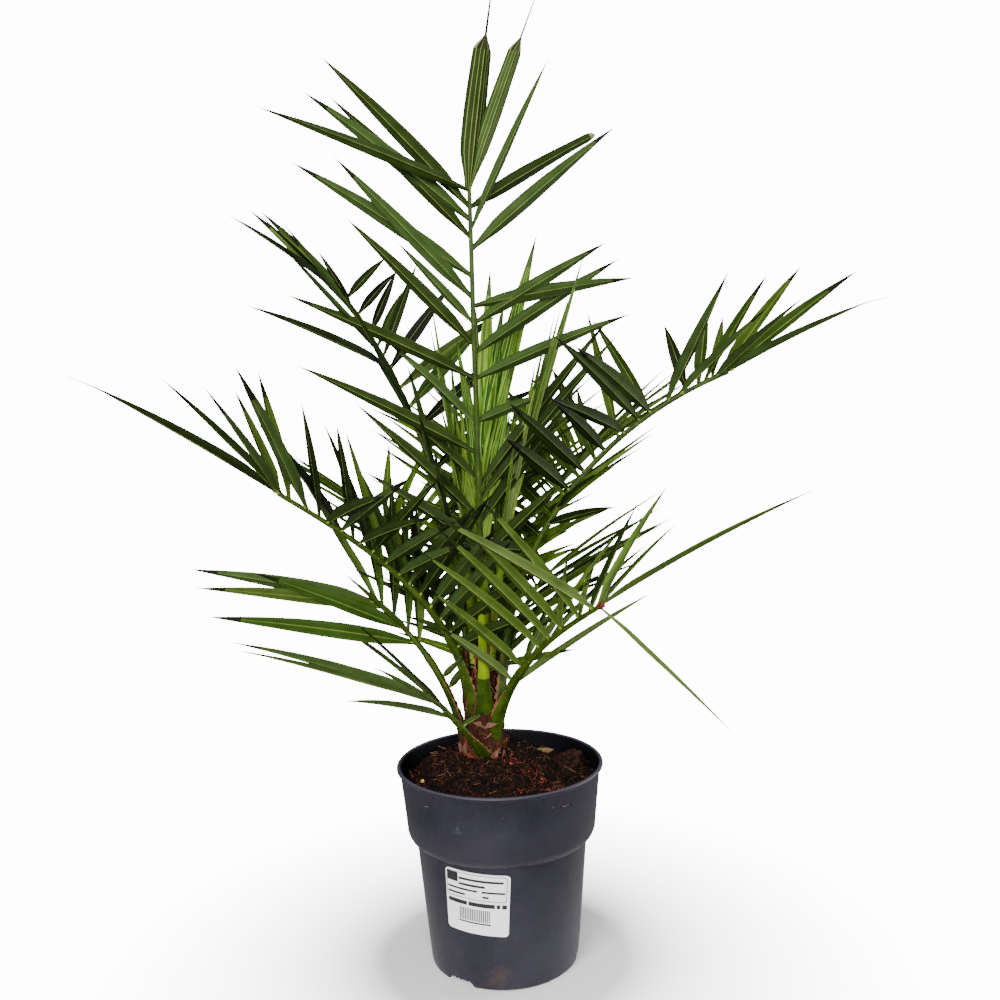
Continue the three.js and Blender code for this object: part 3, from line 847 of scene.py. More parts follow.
@dataclass
class Strewn:
    """Small pieces strewn over a host mesh by a Geometry Nodes tree."""

    name: str
    host: Piece
    grain: Piece
    finish: Finish
    density: float  # pieces in a square metre, times the host's own share
    share: str  # the host's attribute that thins them out
    smallest: float  # millimetres
    largest: float
    seed: int
    lean: float = math.pi  # the furthest a piece leans from the surface's normal

    def tree(self) -> bpy.types.NodeTree:
        """Build the tree: points on faces, a turned and sized grain on each, then plain geometry.

        Returns:
            The tree, with a named input for each size and for the seed.
        """
        tree = bpy.data.node_groups.new(self.name + "_nodes", "GeometryNodeTree")
        sockets = tree.interface
        sockets.new_socket("Host", in_out="INPUT", socket_type="NodeSocketGeometry")
        kinds = {
            "Grain": "Object", "Density": "Float", "Smallest": "Float",
            "Largest": "Float", "Lean": "Float", "Seed": "Int", "Finish": "Material",
        }
        for label, kind in kinds.items():
            sockets.new_socket(label, in_out="INPUT", socket_type="NodeSocket" + kind)
        sockets.new_socket("Pieces", in_out="OUTPUT", socket_type="NodeSocketGeometry")

        node = partial(add_node, tree)
        given = tree.nodes.new("NodeGroupInput").outputs
        share = node("GeometryNodeInputNamedAttribute", {"data_type": "FLOAT"}, {"Name": self.share})
        thinned = node(
            "ShaderNodeMath", {"operation": "MULTIPLY"}, {0: given["Density"], 1: share.outputs[0]})
        points = node(
            "GeometryNodeDistributePointsOnFaces", {"distribute_method": "RANDOM"},
            {"Mesh": given["Host"], "Density": thinned.outputs[0], "Seed": given["Seed"]})
        back = node("ShaderNodeMath", {"operation": "MULTIPLY"}, {0: given["Lean"], 1: -1.0})
        low = node("ShaderNodeCombineXYZ", {}, {0: back.outputs[0], 1: back.outputs[0], 2: -math.pi})
        high = node("ShaderNodeCombineXYZ", {}, {0: given["Lean"], 1: given["Lean"], 2: math.pi})
        turn = node(
            "FunctionNodeRandomValue", {"data_type": "FLOAT_VECTOR"},
            {0: low.outputs[0], 1: high.outputs[0], "Seed": given["Seed"]})
        turned = node(
            "FunctionNodeRotateRotation", {"rotation_space": "LOCAL"},
            {0: points.outputs["Rotation"], 1: turn.outputs[0]})
        size = node(
            "FunctionNodeRandomValue", {"data_type": "FLOAT"},
            {2: given["Smallest"], 3: given["Largest"], "Seed": given["Seed"]})
        grain = node("GeometryNodeObjectInfo", {}, {"Object": given["Grain"]})
        grown = node(
            "GeometryNodeInstanceOnPoints", {},
            {"Points": points.outputs["Points"], "Instance": grain.outputs["Geometry"],
             "Rotation": turned.outputs[0], "Scale": size.outputs[1]})
        real = node("GeometryNodeRealizeInstances", {}, {0: grown.outputs[0]})
        done = node(
            "GeometryNodeSetMaterial", {},
            {"Geometry": real.outputs[0], "Material": given["Finish"]})
        out = tree.nodes.new("NodeGroupOutput")
        tree.links.new(done.outputs[0], out.inputs["Pieces"])
        return tree

    def build(self) -> Piece:
        """Strew the pieces and give them as one plain mesh.

        Returns:
            The piece.
        """
        carrier = bpy.data.objects.new(self.name + "_host", self.host.data)
        scene = bpy.context.scene.collection.objects
        scene.link(carrier)
        scene.link(self.grain)
        modifier = carrier.modifiers.new("strew", "NODES")
        modifier.node_group = self.tree()
        values = {
            "Grain": self.grain, "Density": self.density, "Smallest": self.smallest * MM,
            "Largest": self.largest * MM, "Lean": self.lean, "Seed": self.seed,
            "Finish": self.finish.material(),
        }
        for socket in modifier.node_group.interface.items_tree:
            if socket.name in values:
                modifier[socket.identifier] = values[socket.name]
        mesh = applied(carrier, modifier)
        mesh.name = self.name
        bpy.data.objects.remove(carrier)
        bpy.data.objects.remove(self.grain)
        smoothed(mesh, 50.0)
        piece = bpy.data.objects.new(self.name, mesh)
        scene.link(piece)
        return piece


def set_share(host: Piece, name: str, values: Array) -> None:
    """Say how thickly litter lies at each of a host's points."""
    layer = host.data.attributes.new(name, "FLOAT", "POINT")
    layer.data.foreach_set("value", values.astype(np.float32))


def seat(piece: Piece, node: str) -> Piece:
    """Let a piece ride on the plant and stand for its solid, and log it.

    Args:
        piece: The finished piece.
        node: The solid that it stands for.

    Returns:
        The piece.
    """
    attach(piece, "root")
    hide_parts(node)
    LOG.info("%s: %d faces, for %s", piece.name, len(piece.data.polygons), node)
    return piece


# ---------------- pot and label


@dataclass
class Pot:
    """The nursery pot: a thin turned shell with a rolled lip, a shoulder and a notched foot ring."""

    height: float = 165.0
    wall: float = 1.3
    floor: float = 6.4
    pad: float = 22.0
    segments: int = 192
    outer: tuple[Pair, ...] = (
        (2.6, 61.3), (104.0, 70.3), (109.0, 75.8), (112.0, 77.6), (132.0, 79.4), (160.5, 82.3))
    ring: Pair = (56.5, 58.6)
    notch_count: int = 3
    notch_turn: float = -6.5
    notch_width: float = 24.0
    notch_height: float = 5.0
    drain_count: int = 8
    drain_radius: float = 4.5
    drain_circle: float = 40.0
    crease: float = 35.0
    painted_shade_above: float = 10.0  # where the painted shade on the inner wall starts

    def radius(self, height: float) -> float:
        """Give the outer wall's radius at a height."""
        heights, radii = zip(*self.outer)
        return float(np.interp(height, heights, radii))

    def profile(self) -> Array:
        """Give the shell's closed profile as (radius, height), up the outside and down the inside.

        Returns:
            The points.
        """
        wall, top = self.wall, self.height
        shoulder = [(70.3, 103.4), (70.9, 103.8), (73.2, 105.4), (75.4, 107.6), (76.8, 110.0), (77.6, 112.6)]
        outside = [(0, 0), (self.pad, 0), (self.pad + 3, 5), (self.ring[0] - 1.5, 5), (self.ring[0], 0)]
        outside += [(self.ring[1], 0), (60.2, 0.7), (61.0, 1.6), (61.3, 2.8), (62.2, 12.0), (66.0, 54.0)]
        outside += [*shoulder, (79.4, 132.0), (82.2, 159.8), (82.6, 161.0)]
        outside += arc((83.3, top - 1.7), 1.7, -62, 88, 9)
        inside = [*arc((82.9, top - 1.0), 1.0, 90, 180, 4), (82.2 - wall, 160.0)]
        inside += [(r - wall, h - wall * 0.4) for r, h in [(79.4, 132.0), *shoulder[::-1]]]
        inside += [(self.radius(self.floor) - wall, self.floor), (self.pad + 3 - wall, self.floor)]
        inside += [(self.pad - wall, wall), (0, wall)]
        return np.array(outside + inside)

    def build(self) -> Piece:
        """Spin the shell, raise the notches in its foot ring and bore its drain holes.

        Returns:
            The shell.
        """
        buffer = MeshBuffer()
        loops = spun(self.profile(), self.segments)
        rim = np.hypot(loops[..., 0], loops[..., 1])
        turn = np.degrees(np.arctan2(loops[..., 1], loops[..., 0])) - self.notch_turn
        pitch = 360 / self.notch_count
        aside = np.radians(np.abs((turn + pitch / 2) % pitch - pitch / 2)) * rim
        ragged = 1 + 0.14 * np.sin(turn * 1.9) + 0.10 * np.sin(turn * 5.3 + 1)
        side = self.notch_width / 2
        raised = self.notch_height * ragged * (1 - smooth(aside, side - 1, side + 1))
        foot = (rim > self.ring[0] - 2) & (loops[..., 2] < raised)
        loops[..., 2] = np.where(foot, raised, loops[..., 2])
        buffer.loft(loops, open_ends=True)
        plastics = [PLASTIC.material(), SHADED_INNER_PLASTIC.material()]
        shell = buffer.build("pot_shell", plastics, crease=self.crease, weld=True)
        self.bore(shell)
        # The inner wall above that height takes the near-black copy of the plastic: painted shade.
        for face in shell.data.polygons:
            x, y, z = face.center / MM
            inner = math.hypot(x, y) < self.radius(z) - self.wall * 0.6
            face.material_index = int(inner and z > self.painted_shade_above)
        return seat(shell, "pot")

    def bore(self, shell: Piece) -> None:
        """Cut the drain holes through the floor.

        Args:
            shell: The pot's shell.
        """
        cutters = MeshBuffer()
        for i in range(self.drain_count):
            turn = 2 * math.pi * (i + 0.5) / self.drain_count
            path = around(self.drain_circle, turn, np.array([2.0, 9.0]))
            cutters.loft(tube(path, np.full(2, self.drain_radius), 24))
        cutter = cutters.build("drain_cutter", [], weld=True)
        modifier = shell.modifiers.new("drain", "BOOLEAN")
        modifier.object = cutter
        modifier.solver = "EXACT"
        shell.data = applied(shell, modifier)
        bpy.data.objects.remove(cutter)
        smoothed(shell.data, self.crease)


@dataclass
class Label:
    """A white paper label bent round the pot, with plain printed rules, a block and bars."""

    pot: Pot
    width: float = 52.0
    height: float = 51.0
    corner: float = 3.0
    heading: float = -108.0
    up: float = 74.0
    tilt: float = -3.0
    rest: float = 0.35  # the gap behind the paper
    paper: float = 0.5
    ink: float = 0.06

    def on_wall(self, flat: Array) -> Array:
        """Bend points round the pot.

        Args:
            flat: Points as (across, up, out) from the label's middle.

        Returns:
            The points on the pot's wall.
        """
        tilt = math.radians(self.tilt)
        across = flat[..., 0] * math.cos(tilt) - flat[..., 1] * math.sin(tilt)
        height = self.up + flat[..., 0] * math.sin(tilt) + flat[..., 1] * math.cos(tilt)
        heights, radii = zip(*self.pot.outer)
        radius = np.interp(height, heights, radii) + self.rest + flat[..., 2]
        turn = math.radians(self.heading) + across / self.pot.radius(self.up)
        return around(radius, turn, height)

    def plate(self, buffer: MeshBuffer, box: Box, out: Pair, corner: float = 0.0) -> None:
        """Add a thin plate with round corners.

        Args:
            buffer: Where it goes.
            box: Its sides.
            out: How far its back and its face stand from the wall.
            corner: Its corners' radius.
        """
        left, low, right, high = box
        edge = [] if corner == 0 else list(corner * (1 - np.cos(np.radians(np.arange(15, 90, 15)))))
        heights = sorted({low, *(low + e for e in edge), *np.linspace(low + corner, high - corner, 8),
                          *(high - e for e in edge), high})
        columns = max(3, int((right - left) / 1.2))
        rows = []
        for height in heights:
            near = max(0.0, corner - min(height - low, high - height))
            pinch = corner - math.sqrt(max(0.0, corner**2 - near**2))
            across = np.linspace(left + pinch, right - pinch, columns)
            face = np.stack([across, 0 * across + height, 0 * across + out[1]], 1)
            back = np.stack([across[::-1], 0 * across + height, 0 * across + out[0]], 1)
            rows.append(np.vstack([back, face]))
        buffer.loft(self.on_wall(np.array(rows)))

    def frame(self, buffer: MeshBuffer, box: Box, out: Pair, corner: float, line: float) -> None:
        """Add a thin line round a box with round corners.

        Args:
            buffer: Where it goes.
            box: Its sides.
            out: How far its back and its face stand from the wall.
            corner: Its corners' radius.
            line: The line's width.
        """
        left, low, right, high = box
        middles = [(right - corner, high - corner, 0), (left + corner, high - corner, 90),
                   (left + corner, low + corner, 180), (right - corner, low + corner, 270)]
        spine = []
        for x, y, start in middles:
            spine += arc((x, y), corner, start, start + 90, 6)
            reach = arc((x, y), corner, start + 90, start + 90, 1)[0]
            following = middles[(start // 90 + 1) % 4]
            goal = arc(following[:2], corner, start + 90, start + 90, 1)[0]
            for s in np.linspace(0.05, 0.95, 16):
                spine.append((mix(reach[0], goal[0], s), mix(reach[1], goal[1], s)))
        path = np.array([*spine, spine[0], spine[1]])
        ahead = unit(np.gradient(path, axis=0))
        aside = np.stack([ahead[:, 1], -ahead[:, 0]], 1) * line / 2
        inner, outer = path - aside, path + aside
        loops = [np.column_stack([side, np.full(len(path), depth)])
                 for side, depth in ((outer, out[0]), (outer, out[1]), (inner, out[1]), (inner, out[0]))]
        buffer.loft(self.on_wall(np.stack(loops, 1)))

    def build(self) -> list[Piece]:
        """Make the paper and what is printed on it.

        Returns:
            The sheet and its print.
        """
        sheet = MeshBuffer()
        w, h = self.width / 2, self.height / 2
        self.plate(sheet, (-w, -h, w, h), (0.0, self.paper), self.corner)
        paper = sheet.build("label_sheet", [WHITE_PAPER.material()], weld=True)
        out = (self.paper - 0.02, self.paper + self.ink)
        print_ = MeshBuffer()
        self.frame(print_, (-w + 1.2, 3.4, w - 2.4, h - 1.6), out, corner=2.0, line=0.5)
        self.plate(print_, (-w + 1.6, h - 9.8, -w + 11.2, h - 2.0), out, corner=0.6)
        rules = [  # left, up, length, thickness, of each printed rule
            (-14.0, 19.4, 35.0, 1.9), (-14.0, 14.8, 21.0, 1.9), (-24.0, 10.6, 25.0, 1.6),
            (4.5, 10.6, 18.0, 1.6), (-24.0, 6.4, 15.0, 1.6), (5.0, 6.4, 5.0, 1.6),
            (-24.0, -0.6, 16.5, 3.4), (-6.2, -0.6, 21.0, 3.4), (16.2, -0.6, 2.6, 3.4),
            (20.2, -0.6, 3.8, 3.4), (-15.0, -16.4, 27.0, 1.2),
        ]
        for left, up, length, thickness in rules:
            self.plate(print_, (left, up - thickness / 2, left + length, up + thickness / 2), out)
        bars, pitch, width, start = 17, 1.5, 0.85, -14.0
        for left in (start + i * pitch for i in range(bars)):
            self.plate(print_, (left, -15.0, left + width, -4.6), out)
        ink = print_.build("label_print", [INK.material()], weld=True)
        return [seat(piece, "label") for piece in (paper, ink)]


# ---------------- soil


@dataclass
class Soil:
    """The peat in the pot: a lumpy bed heaped round the stem, with crumbs and litter on it."""

    pot: Pot
    stem: Pair = (-13.0, 42.0)
    top: float = 149.0
    mound: float = 158.0
    flat: float = 23.0
    spread: float = 46.0
    lumps: float = 0.8
    clods: tuple[Pair, ...] = (  # how high and how fine each roughness is
        (2.1, 0.11), (1.3, 0.27), (0.9, 0.62), (0.5, 1.3))
    gap: float = 0.35
    columns: int = 220
    rings: int = 84
    red_trail: tuple[Pair, ...] = (  # where the red granules lie
        (2.0, 27.0), (14.0, 18.0), (25.0, 6.0), (37.0, -10.0), (40.0, -26.0), (18.0, -31.0))
    red_width: float = 6.5

    def height(self, x: Array, y: Array) -> Array:
        """Give the height of the bed's smooth form at each place.

        Args:
            x: Each place's X.
            y: Each place's Y.

        Returns:
            The heights.
        """
        away = np.hypot(x - self.stem[0], y - self.stem[1])
        heap = 1 - smooth(away, self.flat, self.flat + self.spread)
        wave = self.lumps * np.sin(x * 0.23 + 1.3) * np.cos(y * 0.19 + x * 0.07)
        return np.minimum(self.mound, self.top + (self.mound - self.top) * heap + wave * (1 - heap))

    def surface(self) -> Array:
        """Give the top's rings of points, from the wall inwards, with clods and crumbs in them.

        Returns:
            The points, as rings x points x 3.
        """
        rim = self.pot.radius(self.top) - self.pot.wall - self.gap
        radius = np.linspace(rim, 0.8, self.rings)[:, None]
        turn = circle(self.columns)[None]
        x, y = radius * np.cos(turn), radius * np.sin(turn)
        z = self.height(x, y)
        rough = np.zeros_like(z)
        for row in range(z.shape[0]):
            for column in range(z.shape[1]):
                place = Vector((x[row, column], y[row, column], 0.0))
                rough[row, column] = sum(high * noise.noise(place * fine) for high, fine in self.clods)
        return np.stack([x, y, z + rough], 2)

    def shares(self, top: Array) -> dict[str, Array]:
        """Give, for each point of the top, how thickly each kind of litter lies there.

        Args:
            top: The top's points.

        Returns:
            The shares, by the attribute's name.
        """
        flat = top.reshape(-1, 3)[:, :2]
        trail = np.array(self.red_trail)
        near = np.linalg.norm(flat[:, None] - trail[None], axis=2).min(1)
        return {"share_all": np.ones(len(flat)), "share_red": np.exp(-((near / self.red_width) ** 2))}

    def host(self, top: Array) -> Piece:
        """Make the sheet that the litter is strewn on.

        Args:
            top: The top's points.

        Returns:
            The sheet.
        """
        buffer = MeshBuffer()
        buffer.sheet(top)
        made = buffer.build("soil_sheet", [])
        for name, values in self.shares(top).items():
            set_share(made, name, values)
        return made

    def bed(self, top: Array) -> Piece:
        """Make the closed body of the soil.

        Args:
            top: The top's points.

        Returns:
            The bed.
        """
        turn = circle(self.columns)
        floor, wall, gap = self.pot.floor, self.pot.wall, self.gap
        pit = self.pot.pad - wall - gap
        sides = [(pit, wall + gap), (pit + 3, floor + gap)]
        heights = (floor + gap, 50.0, 104.0, 109.0, 112.0, 132.0)
        sides += [(self.pot.radius(h) - wall - gap, h) for h in heights]
        below = [around(radius, turn, height) for radius, height in sides]
        buffer = MeshBuffer()
        buffer.loft(np.concatenate([np.array(below), top]))
        return buffer.build("soil_bed", [BED.material()], crease=75.0)

    def set_down(self, form: Piece, where: Sequence[float], turn: float, finish: Finish) -> Piece:
        """Set a lump down on the bed, turned about Z by degrees.

        Args:
            form: The lump.
            where: Its place.
            turn: Its turn.
            finish: Its finish.

        Returns:
            The lump.
        """
        place = Matrix.Translation(Vector(where) * MM) @ Matrix.Rotation(math.radians(turn), 4, "Z")
        form.data.transform(place @ Matrix.Scale(MM, 4))
        form.data.materials.append(finish.material())
        smoothed(form.data, 60.0)
        bpy.context.scene.collection.objects.link(form)
        return form

    def roots(self) -> Piece:
        """Lay the hair roots over the bed.

        Returns:
            The roots, as one piece.
        """
        lines = (
            ((-9.0, 33.0, 160.0), (-3.0, 30.0, 157.5), (2.5, 22.0, 156.0), (5.5, 13.0, 153.6),
             (7.5, 6.0, 151.2)),
            ((-4.0, 40.0, 163.5), (-1.0, 35.0, 160.5), (0.5, 30.0, 157.8), (1.8, 24.0, 156.4)),
            ((-30.0, 30.0, 158.0), (-38.0, 22.0, 154.5), (-47.0, 18.0, 152.2), (-52.0, 9.0, 151.4)),
            ((14.0, 48.0, 157.0), (24.0, 45.0, 154.3), (31.0, 37.0, 152.6), (38.0, 36.0, 151.6)),
            ((-22.0, 12.0, 154.4), (-20.0, 2.0, 152.8), (-27.0, -8.0, 151.6)),
        )
        steps, thick, thin = 22, 0.55, 0.22
        share = np.linspace(0, 1, steps)
        buffer = MeshBuffer()
        for k, line in enumerate(lines):
            knots = np.linspace(0, 1, len(line))
            path = np.stack([np.interp(share, knots, values) for values in zip(*line)], 1)
            path[1:-1] = (path[:-2] + path[1:-1] * 2 + path[2:]) / 4
            path[:, 0] += 0.5 * np.sin(share * 17 + k)
            buffer.loft(tube(path, np.linspace(thick, thin, steps), 6))
        return buffer.build("hair_roots", [ROOT.material()])

    def build(self) -> list[Piece]:
        """Make the bed and all that lies on it.

        Returns:
            The pieces.
        """
        top = self.surface()
        host = self.host(top)
        made = [self.bed(top)]
        litter = (  # name, finish, share, pieces in a square metre, smallest, largest, seed, shape
            ("crumbs_dark", CRUMBS[0], "share_all", 200000, 1.2, 3.2, 1, (1.0, 0.8, 0.6)),
            ("crumbs_brown", CRUMBS[1], "share_all", 170000, 1.0, 2.8, 2, (1.0, 0.7, 0.6)),
            ("crumbs_red_brown", CRUMBS[2], "share_all", 100000, 0.8, 2.4, 3, (1.0, 0.8, 0.7)),
            ("clods_dark", CRUMBS[0], "share_all", 20000, 3.5, 7.0, 4, (1.0, 0.8, 0.6)),
            ("clods_brown", CRUMBS[1], "share_all", 16000, 3.0, 5.5, 5, (1.0, 0.75, 0.6)),
            ("red_granules", GRANULE, "share_red", 260000, 0.9, 2.6, 6, (1.0, 0.8, 0.7)),
        )
        for name, finish, share, density, smallest, largest, seed, stretch in litter:
            grain = lump(name + "_grain", seed, stretch, roughness=0.35, detail=1)
            strewn = Strewn(name, host, grain, finish, density, share, smallest, largest, seed)
            made.append(strewn.build())
        threads = (  # name, finish, pieces in a square metre, longest, seed
            ("soil_fibres_pale", FIBRES[2], 14000, 11.0, 21),
            ("soil_fibres_red", FIBRES[0], 24000, 9.0, 22),
        )
        for name, finish, density, longest, seed in threads:
            grain = fibre(name + "_grain", seed)
            strewn = Strewn(name, host, grain, finish, density, "share_all", 3.0, longest, seed, 0.35)
            made.append(strewn.build())
        bpy.data.objects.remove(host)
        lumps = (  # name, seed, size, roughness, detail, place, turn, finish
            ("bark_lump", 8, (25, 17, 17), 0.5, 5, (60.5, 22.0, 154.5), 12, BARK),
            ("bark_crumb", 9, (10, 8, 7), 0.5, 4, (50.0, 34.0, 152.0), 40, BARK),
            ("wood_chip", 10, (17, 7, 5), 0.25, 4, (38.5, 57.0, 152.5), 8, CHIP),
            ("feed_bead", 11, (3.4, 3.2, 3.1), 0.06, 4, (-64.0, -7.0, 151.5), 0, BEAD),
            ("feed_bead_small", 12, (2.6, 2.5, 2.4), 0.06, 4, (17.0, -66.0, 151.0), 0, BEAD),
        )
        for name, seed, size, roughness, detail, where, turn, finish in lumps:
            form = lump(name, seed, size, roughness, detail)
            made.append(self.set_down(form, where, turn, finish))
        made.append(self.roots())
        return [seat(piece, "soil") for piece in made]


def fibre(name: str, seed: int, thick: float = 0.022) -> Piece:
    """Make a thin bent fibre one metre long that starts at the origin and lies along Y.

    Args:
        name: The object's name.
        seed: Which way it bends.
        thick: Its radius against its length.

    Returns:
        The object.
    """
    draw = np.random.default_rng(seed)
    share = np.linspace(0, 1, 6)
    bend, rise = draw.uniform(-0.22, 0.22), draw.uniform(0.04, 0.12)
    path = np.stack([bend * np.sin(share * math.pi), share, rise * share**2 * 2], 1)
    buffer = MeshBuffer()
    buffer.loft(tube(path, np.linspace(thick, thick * 0.35, 6), 3))
    made = buffer.build(name, [])
    made.data.transform(Matrix.Scale(1 / MM, 4))
    bpy.context.scene.collection.objects.unlink(made)
    return made


# ---------------- leaf blades


class Tip(Enum):
    """How a leaflet ends."""

    SHARP = "sharp"
    SHOULDER = "shoulder"  # broken off at a dry shoulder, with a dark thread beyond
    BLUNT = "blunt"  # a short dry end
    THREAD = "thread"  # a long thin end that bends down
    DRY = "dry"  # a thin point that has died back


class LeafSlot(IntEnum):
    """The leaflets' material slots, after the four upper greens."""

    BACK = 4  # the first of the backs
    MIDRIB = 6
    TIP_SOFT = 7
    TIP_DARK = 8
    DRY = 9


# Where a blade's columns lie, from edge to edge, and how its pleats lift them.
PLAIN = np.array([-1, -0.55, -0.04, 0, 0.04, 0.55, 1])
PLEATED = np.array([-1, -0.71, -0.66, -0.38, -0.33, -0.04, 0, 0.04, 0.33, 0.38, 0.66, 0.71, 1])
PLEAT = np.array([0, 1, 1, -1, -1, 0, 0, 0, -1, -1, 1, 1, 0])

# Shares of a leaflet's length: more rows of points at a tip, where a broken one narrows, frays and
# goes on as a thread, and where a dry end starts.
TIP_ROWS = {Tip.SHOULDER: (0.675, 0.7, 0.72, 0.745, 0.77), Tip.BLUNT: (0.955, 0.975)}
SHOULDER = (0.665, 0.765)
FRAYED_FROM = 0.68
THREAD_FROM = 0.76
DRY_FROM = {Tip.BLUNT: 0.965, Tip.DRY: 0.88}


@dataclass
class Blade:
    """One leaflet: a thin folded blade with a midrib, sharp edges and its own tip."""

    root: Array
    way: Array
    across: Array
    face: Array
    length: float
    width: float
    tip: Tip = Tip.SHARP
    sag: float = 0.0
    bend: float = 0.0
    arch: float = 0.0
    twist: float = 0.0
    fold: Pair = (60.0, 13.0)
    thick: float = 0.5
    pleated: bool = False  # whether pleats run beside its midrib

    @property
    def columns(self) -> Array:
        """Give where its columns lie."""
        return PLEATED if self.pleated else PLAIN

    def stations(self) -> Array:
        """Give the shares of its length where it has a row of points.

        Returns:
            The shares.
        """
        foot = (0, 0.012, 0.03, 0.055, 0.09, 0.13, 0.18, 0.24, 0.31)
        blade = np.round(np.linspace(0.39, 0.93, 8), 3)
        return np.array(sorted({*foot, *blade, *TIP_ROWS.get(self.tip, ()), 0.96, 0.985, 1.0}))

    def half_width(self, s: Array) -> Array:
        """Give half the width at shares of its length.

        Args:
            s: The shares.

        Returns:
            The half widths.
        """
        rise = 0.38 + 0.62 * smooth(s, 0.0, 0.22)
        taper = 1 - np.clip((s - 0.35) / 0.65, 0, 1) ** 1.7
        if self.tip is Tip.BLUNT:
            end = np.sqrt(1 - np.clip((s - 0.93) / 0.072, 0, 1) ** 2)
            taper = (1 - 0.35 * smooth(s, 0.3, 0.95)) * end
        if self.tip is Tip.SHOULDER:
            thread = 0.05 + 0.28 * (1.0 - s)
            whole = (1 - 0.15 * smooth(s, 0.35, 0.7)) * (1 - smooth(s, *SHOULDER))
            taper = np.maximum(whole, thread * (s > 0.5))
        if self.tip is Tip.THREAD:
            taper = np.maximum(1 - np.clip((s - 0.3) / 0.6, 0, 1) ** 1.7, 0.06 * (1.1 - s) / 0.2)
        return np.maximum((self.width / 2 + 0.15) * rise * taper, 0.16)

    def loops(self, s: Array) -> Array:
        """Give the rows of points, over its face from left to right and back underneath.

        Args:
            s: The shares of its length where the rows are.

        Returns:
            The points, as rows x points x 3.
        """
        half = self.half_width(s)[:, None]
        droop = -self.sag * s**2.2
        if self.tip is Tip.THREAD:
            droop = droop - 2.5 * smooth(s, 0.88, 1.0)
        middle = (
            self.root + self.way * (s * self.length)[:, None] + UP * droop[:, None]
            + self.across * (self.bend * self.length * s**2)[:, None]
            + self.face * (self.arch * self.length * np.sin(s * math.pi))[:, None])
        turn = (np.radians(self.twist) * s)[:, None]
        across = self.across * np.cos(turn) + self.face * np.sin(turn)
        face = self.face * np.cos(turn) - self.across * np.sin(turn)
        fold = np.radians(self.fold[0] + (self.fold[1] - self.fold[0]) * smooth(s, 0, 0.4))[:, None]
        columns = self.columns
        aside = half * np.cos(fold) * columns
        above = half * np.sin(fold) * np.abs(columns) ** 1.15
        if columns is PLEATED:
            above = above + half * 0.06 * PLEAT
        thick = self.thick * (0.35 + 0.65 * np.minimum(1, half / (self.width * 0.3)))
        edge = np.abs(columns) == 1
        top = above + np.where(edge, 0, thick / 2)
        keel = np.clip(1 - np.abs(columns) * 9, 0, 1) * thick * 1.1
        bottom = above - thick / 2 - keel
        flat = np.concatenate([aside, aside[:, -2:0:-1]], 1)[..., None]
        lift = np.concatenate([top, bottom[:, -2:0:-1]], 1)[..., None]
        return middle[:, None] + across[:, None] * flat + face[:, None] * lift

    def skins(self, s: Array, upper: int, back: int, dark: float) -> Array:
        """Give each face's material slot.

        Args:
            s: The shares of its length where the rows are.
            upper: The slot of its face.
            back: The slot of its back.
            dark: The share where its dark tip starts.

        Returns:
            The slots, as rows of faces.
        """
        narrow = np.diff(self.columns) < 0.08
        # On pleated blades every other pleat takes another green: painted light and shade on the pleats.
        other = np.cumsum(~narrow) % 2 == 0  # every other pleat is in another green
        painted_pleat_shade = np.where(other & self.pleated, (upper + 2) % LeafSlot.BACK, upper)
        sides = [np.where(narrow, LeafSlot.MIDRIB, plain) for plain in (painted_pleat_shade, back)]
        slots = np.tile(np.concatenate(sides), (len(s) - 1, 1))
        ahead = (s[1:] + s[:-1]) / 2
        if self.tip in (Tip.SHARP, Tip.THREAD, Tip.DRY):
            slots[ahead > dark - (1 - dark) * 0.8] = LeafSlot.TIP_SOFT
            slots[ahead > dark] = LeafSlot.TIP_DARK
        if self.tip is Tip.SHOULDER:
            fray = np.arange(slots.shape[1]) % 3
            slots[ahead > FRAYED_FROM] = np.choose(fray, (LeafSlot.DRY, back, LeafSlot.TIP_SOFT))
            slots[ahead > THREAD_FROM] = LeafSlot.TIP_DARK
        if self.tip in DRY_FROM:
            slots[ahead > DRY_FROM[self.tip]] = LeafSlot.DRY
        return slots

    def grow(self, buffer: MeshBuffer, upper: int, back: int, dark: float) -> None:
        """Add the blade to a mesh."""
        s = self.stations()
        buffer.loft(self.loops(s), self.skins(s, upper, back, dark))


# ---------------- stem


